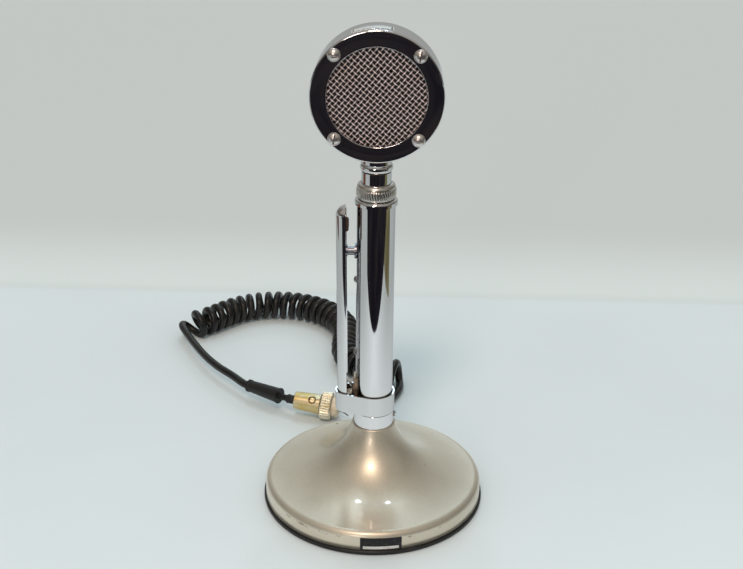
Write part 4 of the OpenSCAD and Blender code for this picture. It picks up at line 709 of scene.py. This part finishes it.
def make_woven_mesh():
    """Plain weave on a shallow dome. A wire at the offset a follows b with the depth
    edge - bulge * (1 - (r / R) ** 2) + side * (-1) ** i * lift * cos(pi b / pitch), so it goes
    over and under the wires that cross it, one pitch apart. The wave dies out at the rim. Round
    the wire the points turn by an angle, square to its slope."""
    count, rings, sides = int(MESH_END_R / MESH_PITCH), WIRE_RINGS, WIRE_SIDES
    lift = MESH_WIRE_R + 0.02
    i = np.arange(-count, count + 1)
    wires, size = len(i), rings * sides
    a = np.repeat((i * MESH_PITCH)[:, None], rings, axis=1)
    length = np.sqrt(MESH_END_R ** 2 - a ** 2)
    b = length * np.linspace(-1, 1, rings)
    at_rim = np.clip((MESH_END_R - np.sqrt(a ** 2 + b ** 2)) / FLAT_AT_RIM, 0, 1)
    dome = MESH_EDGE_Y - MESH_BULGE * (1 - (a ** 2 + b ** 2) / MESH_END_R ** 2)
    wave = ((-1.0) ** i)[:, None] * lift * np.cos(math.pi * b / MESH_PITCH) * at_rim
    angle = TURN * np.arange(sides) / sides
    along = np.broadcast_to((b * MM)[..., None], (wires, rings, sides))
    points, faces, uv = [], [], []
    for first, side in ((0, 1), (wires, -1)):
        # over, the second UV coordinate, sets the wire's painted shade in the hollows of the weave
        over = 0.5 - 0.5 * side * wave / lift
        height = dome + side * wave
        slope = np.gradient(height, axis=1) / np.gradient(b, axis=1)
        tilt = 1 / np.sqrt(1 + slope ** 2)
        q = a[..., None] + MESH_WIRE_R * np.cos(angle)
        s = b[..., None] - MESH_WIRE_R * np.sin(angle) * (slope * tilt)[..., None]
        h = height[..., None] + MESH_WIRE_R * np.sin(angle) * tilt[..., None]
        points.append(np.stack([q, s, h] if side > 0 else [s, q, h], axis=-1).reshape(-1, 3))
        one = grid_faces(rings, sides, wrap_columns=True, flip=side > 0)
        faces.append((one + (first + np.arange(wires))[:, None, None] * size).reshape(-1, 4))
        uv.append(np.stack(np.broadcast_arrays(along, over[..., None]), axis=-1).reshape(-1, 2))
    points = np.concatenate(points)
    ends = np.arange(0, len(points), size)[:, None] + np.arange(sides)
    last = ends + size - sides
    caps = [*ends[:wires].tolist(), *last[:wires, ::-1].tolist(),
            *ends[wires:, ::-1].tolist(), *last[wires:].tolist()]
    c, s = math.cos(MESH_TURN), math.sin(MESH_TURN)
    x, y = points[:, 0] * c - points[:, 1] * s, points[:, 0] * s + points[:, 1] * c
    mesh = add_piece("woven_mesh", face_place(np.column_stack([x, y, points[:, 2]])),
                     np.concatenate(faces), "head", WIRE, uv=np.concatenate(uv),
                     caps=caps)
    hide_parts("grille")


def make_lathed(name, outline, steps, body, finish, place, swell=None):
    """Closed outline turned about +Z, and then put in its place."""
    points = lathe_points(outline, steps, swell)
    faces = grid_faces(*points.shape[:2], wrap_rows=True, wrap_columns=True)
    return add_piece(name, place(points.reshape(-1, 3)), faces, body, finish)


def make_bezel():
    """Ring in front of the mesh: a rectangle with a rounded outer and a rounded inner edge."""
    rebate_r, rebate = BEZEL_OPENING_R + 2.1, 1.5
    outline = rounded([[BEZEL_OPENING_R, HEAD_FRONT], [HEAD_R, HEAD_FRONT], [HEAD_R, BEZEL_BACK],
                       [rebate_r, BEZEL_BACK], [rebate_r, BEZEL_BACK - rebate],
                       [BEZEL_OPENING_R, BEZEL_BACK - rebate]],
                      [0.5, 1.2, 0.12, 0.1, 0.1, 0.15], 9)
    ring = make_lathed("bezel", outline, 256, "head", CHROME, face_place)
    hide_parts("bezel_ring")


def make_mesh_rim():
    """Flat rim that the wires are folded into, hidden under the bezel."""
    low, high = BEZEL_BACK - 1.4, BEZEL_BACK - 0.1
    inner, outer = BEZEL_OPENING_R + 0.4, BEZEL_OPENING_R + 1.8
    outline = rounded([[inner, low], [outer, low], [outer, high], [inner, high]], 0.25, 4)
    make_lathed("mesh_rim", outline, 160, "head", STAINED_STEEL, face_place)


def make_coupling_nut():
    """Nut with a rounded shoulder and a slightly bellied band, and on it fine ridges:
    r + d * (0.5 + 0.5 cos(n a + m h)), where m is small, so the ridges lean a little."""
    inner, cavity_top, neck = 9.6, NUT_TOP - 1.2, NECK_R + 0.1
    belly, band_steps, shoulder_h = 0.1, 40, 2.6
    depth, lean, margin = 0.3, 0.8, 0.1
    band_low, band_high = NUT_LOW + 1.6, NUT_TOP - 3.2
    outline = [[inner, NUT_LOW], [NUT_R - 0.3, NUT_LOW], [NUT_R, NUT_LOW + 0.8]]
    swelling = belly * np.sin(math.pi * np.linspace(0, 1, band_steps))
    outline += np.column_stack([NUT_R + swelling,
                                np.linspace(band_low, band_high, band_steps)]).tolist()
    arc = np.linspace(0, math.pi / 2, 9)[1:]
    outline += np.column_stack([neck + (NUT_R - neck) * np.cos(arc),
                                NUT_TOP - shoulder_h + shoulder_h * np.sin(arc)]).tolist()
    outline += [[neck, NUT_TOP], [neck, cavity_top], [inner, cavity_top]]

    def knurl(a, line):
        """Swell of the radius at the angle a."""
        h = line[:, 1:]
        on = (h > band_low + margin) & (h < band_high - margin) & (line[:, :1] > NUT_R - margin)
        return on * depth * (0.5 + 0.5 * np.cos(NUT_RIDGES * a + lean * h))

    nut = make_lathed("knurled_nut", outline, NUT_RIDGES * 12, "nut", NUT_CHROME,
                      as_placed, knurl)
    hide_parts("coupling_nut")


def make_curved_plate(name, place, thickness, bevel, body, finish):
    """Thin plate laid on a curved face: place(u, v) maps its grid, Solidify gives it a wall, and
    Bevel breaks its edges."""
    across, up = 40, 12
    u, v = np.meshgrid(np.linspace(0, 1, across), np.linspace(0, 1, up))
    plate = add_piece(name, place(u, v), grid_faces(up, across), body, finish,
                      uv=np.stack([u, v], axis=-1))
    thick = plate.modifiers.new("thickness", "SOLIDIFY")
    thick.thickness, thick.offset = thickness * MM, 1
    edge = plate.modifiers.new("edge", "BEVEL")
    edge.width, edge.segments, edge.limit_method = bevel * MM, 2, "ANGLE"
    edge.harden_normals = True


def make_base():
    """Spun cover of the base, turned about +Z: an upright wall, a round shoulder, and a flare
    that is the cubic curve (1-t)^3 A + 3t(1-t)^2 B + 3t^2(1-t) C + t^3 D up to the collar."""
    lean = math.pi / 2 - math.atan2(FLARE_LIFT, FLARE_REACH)
    centre = np.array([BASE_R - SHOULDER_R, WALL_TOP])
    arc = np.linspace(0, lean, 25)[:, None]
    shoulder = centre + SHOULDER_R * np.hstack([np.cos(arc), np.sin(arc)])
    start, end = shoulder[-1], np.array([BASE_NECK_R, BASE_TOP])
    two = start + [-FLARE_REACH, FLARE_LIFT]
    three = end + [FLARE_SPREAD, -FLARE_DROP]
    t = np.linspace(0, 1, 161)[1:, None]
    flare = ((1 - t) ** 3 * start + 3 * t * (1 - t) ** 2 * two + 3 * t ** 2 * (1 - t) * three
             + t ** 3 * end)
    low, inner_r = FOOT_TOP + 0.02, BASE_R - 4.2
    foot = [[BASE_R, low], [BASE_R, 0.5 * (FOOT_TOP + WALL_TOP)]]
    inside = [[HUB_R, BASE_TOP], [HUB_R, 40], [HUB_R + 10, 22], [40, 13], [BASE_R - 7, 10.5],
              [inner_r, 8], [inner_r, low]]
    outline = np.vstack([foot, shoulder, flare, inside])
    base = make_lathed("base_cover", outline, 240, "stand", PAINT, as_placed)
    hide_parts("base_casting")


def label_place(u, v):
    """Wall of the base, then the first of its shoulder: (r sin a, -r cos a, h). The label is
    wide along the wall, and its middle is a little to the right of the front."""
    aside, width, low, height, clear = 7, 24.3, 3.4, 8.1, 0.02
    a = (aside + width * (u - 0.5)) / BASE_R
    h = low + height * v
    r = BASE_R - SHOULDER_R + np.sqrt(SHOULDER_R ** 2 - np.maximum(h - WALL_TOP, 0) ** 2) + clear
    return np.stack([r * np.sin(a), -r * np.cos(a), h], axis=-1)


def panel_place(u, v):
    """Top of the round shell: (r sin a, y, centre + r cos a)."""
    aside, width, front, depth, clear = -3, 23, -10.9, 9, 0.01
    a = (aside + width * (u - 0.5)) / HEAD_R
    r = HEAD_R + clear
    return np.stack([r * np.sin(a), front + depth * v, HEAD_Z + r * np.cos(a)], axis=-1)


make_base()
make_woven_mesh()
make_bezel()
make_mesh_rim()
make_coupling_nut()
make_curved_plate("bare_label_plate", label_place, 0.35, 0.1, "stand", bare_label())
make_curved_plate("bare_top_panel", panel_place, 0.14, 0.05, "head",
                  outlined_chrome())


# ---- Floor, mirrored room and light ---------------------------------------------------------


def stage_sheet(name, corners, finish):
    """Flat sheet with those corners, which isn't part of the object."""
    mesh = bpy.data.meshes.new(name)
    mesh.from_pydata(corners, [], [tuple(range(len(corners)))])
    mesh.materials.append(finish)
    sheet = bpy.data.objects.new(name, mesh)
    bpy.context.scene.collection.objects.link(sheet)
    return sheet


def make_floor():
    """Pale cloth: bluish in front, a soft painted shade line where it folds up behind the object,
    and greyer beyond it.
    """
    cloth = Finish("pale_cloth", roughness=0.9, specular_ior_level=0.1)
    y = cloth.part("Y")
    near = cloth.blend(cloth.spread(y, -0.25, 0.15, smooth=True), (0.715, 0.765, 0.775),
                       (0.63, 0.68, 0.68))
    cloudy = cloth.spread(cloth.noise(7, 4), 0.3, 0.7, 0.985, 1.015)
    near = cloth.multiplied(near, cloudy)
    far = cloth.blend(cloth.spread(y, 0.31, 0.48, smooth=True), (0.64, 0.675, 0.655),
                      (0.54, 0.555, 0.535))
    colour = cloth.blend(cloth.spread(y, 0.296, 0.303), near, far)
    # Painted shade: a soft dark line across the flat cloth, standing for the fold behind the object
    fold_shade = cloth.calc("MULTIPLY", cloth.spread(y, 0.292, 0.3, 0, 0.1, smooth=True),
                      cloth.spread(y, 0.314, 0.301, smooth=True))
    cloth.feed("Base Color", cloth.blend(fold_shade, colour, (0.35, 0.37, 0.35)))
    half = 6
    stage_sheet("floor", [(-half, -half, 0), (half, -half, 0), (half, half, 0), (-half, half, 0)],
                cloth.material)


def make_mirror_sheets():
    """What mirrors alone see of the table and past its edges: a table that dims to its sides,
    a dark room in front, dull brown on the left and olive on the right. Each sheet lies a little
    above the one before it. Its colours are for noise of 0 and 1, and the table's for its middle
    and its sides."""
    far, left, right, rise = -6.0, -0.44, 0.31, 0.0003
    front = [(3, -0.225), (0.47, -0.225), (0.13, -0.246), (-0.27, -0.241), (-3, -2.04)]
    sheets = [
        ("mirrored_table", (0.86, 0.90, 0.91), (0.48, 0.51, 0.50),
         [(-1.5, -1.5), (1.5, -1.5), (1.5, 1.5), (-1.5, 1.5)]),
        ("olive_right", (0.13, 0.11, 0.055), (0.20, 0.18, 0.10),
         [(right, -0.4), (6, -0.4), (6, 0.01), (right, 0.01)]),
        ("brown_left", (0.20, 0.07, 0.045), (0.10, 0.045, 0.03),
         [(-6, 0), (left, 0), (left, 0.3), (-6, 0.3)]),
        ("dark_front", (0.010, 0.009, 0.013), (0.024, 0.02, 0.022), [(-3, far), (3, far), *front]),
    ]
    for level, (name, one, other, corners) in enumerate(sheets):
        sheet = Finish(name, roughness=1.0, specular_ior_level=0.0)
        share = sheet.spread(sheet.noise(5, 3), 0.4, 0.6)
        if level == 0:
            share = sheet.spread(sheet.calc("ABSOLUTE", sheet.part("X")), 0.02, 0.3)
        sheet.feed("Base Color", sheet.blend(share, one, other))
        z = rise * (level + 1)
        piece = stage_sheet(name, [(x, y, z) for x, y in corners], sheet.material)
        piece.visible_camera = piece.visible_diffuse = piece.visible_shadow = False
        piece.visible_transmission = piece.visible_volume_scatter = False


def make_sun(name, azimuth, height, strength, colour, size):
    """Distant lamp of that angular size. Azimuth 0 is in front of the object, and 90 is to
    its right."""
    a, h = math.radians(azimuth), math.radians(height)
    back = np.array([math.sin(a) * math.cos(h), -math.cos(a) * math.cos(h), math.sin(h)])
    right = unit(np.cross([0, 0, 1.0], back))
    light = bpy.data.lights.new(name, "SUN")
    light.energy, light.color, light.angle = strength, colour, math.radians(size)
    lamp = bpy.data.objects.new(name, light)
    turn = np.eye(4)
    turn[:3, 0], turn[:3, 1], turn[:3, 2], turn[:3, 3] = right, np.cross(back, right), back, back
    lamp.matrix_world = Matrix(turn.tolist())
    bpy.context.scene.collection.objects.link(lamp)


def make_world():
    """Soft pale room. Mirrors see a pale wall behind the object that dims towards the ceiling,
    and a dark room in front with dull brown bands."""
    world = bpy.data.worlds.new("soft_room")
    world.use_nodes = True
    tree = world.node_tree

    def node(kind, inputs=(), **settings):
        """New node of the world."""
        return add_node(tree, kind, inputs, settings)

    def ramp(value, low, high):
        """Smooth step from 0 at low to 1 at high."""
        return node("MapRange", {"Value": value, "From Min": low, "From Max": high},
                    interpolation_type="SMOOTHSTEP").outputs["Result"]

    def blend(share, a, b):
        """Colour a where share is 0 and colour b where it is 1."""
        return node("Mix", {"Factor": share, 6: a, 7: b}, data_type="RGBA").outputs[2]

    heading = node("TexCoord").outputs["Generated"]
    xyz = node("SeparateXYZ", {"Vector": heading})
    aside = node("Math", {0: xyz.outputs["X"]}, operation="ABSOLUTE").outputs["Value"]
    wall = blend(ramp(xyz.outputs["Z"], 0.35, 0.8), (0.56, 0.575, 0.55, 1), (0.42, 0.41, 0.38, 1))
    wall = blend(ramp(aside, 0.35, 0.85), wall, (0.16, 0.15, 0.13, 1))
    band = node("TexNoise", {"Vector": node("Mapping", {"Vector": heading, "Scale": (1, 1, 0.3)})
                             .outputs["Vector"], "Scale": 5.0}).outputs["Fac"]
    room = blend(ramp(band, 0.5, 0.65), (0.018, 0.017, 0.022, 1), (0.12, 0.09, 0.065, 1))
    room = blend(ramp(xyz.outputs["Z"], 0.08, 0.55), room, (0.38, 0.35, 0.31, 1))
    mirrored = blend(ramp(xyz.outputs["Y"], -0.25, 0.12), room, wall)
    light = tree.nodes["Background"]
    light.inputs["Color"].default_value = (0.92, 0.985, 1.0, 1)
    light.inputs["Strength"].default_value = 0.68
    seen = node("Background", {"Color": mirrored})
    mix = node("MixShader", {"Fac": node("LightPath").outputs["Is Glossy Ray"],
                             1: light.outputs["Background"], 2: seen.outputs["Background"]})
    tree.links.new(mix.outputs["Shader"], tree.nodes["World Output"].inputs["Surface"])
    bpy.context.scene.world = world


make_floor()
make_mirror_sheets()
make_world()
make_sun("warm_key", -7, 54, 0.9, (1.0, 0.79, 0.65), 12)
make_sun("low_front", -13, 15, 0.35, (1.0, 0.88, 0.78), 12)
make_sun("ceiling_left", -150, 74, 0.16, (0.75, 0.9, 1.0), 3.5)
make_sun("ceiling_right", 154, 73, 0.16, (0.75, 0.9, 1.0), 3.5)
make_sun("ceiling_back", -175, 63, 0.16, (0.75, 0.9, 1.0), 3.5)
make_sun("cool_back", 178, 34, 0.22, (0.6, 0.82, 1.0), 16)
bpy.context.scene.view_settings.view_transform = "Standard"
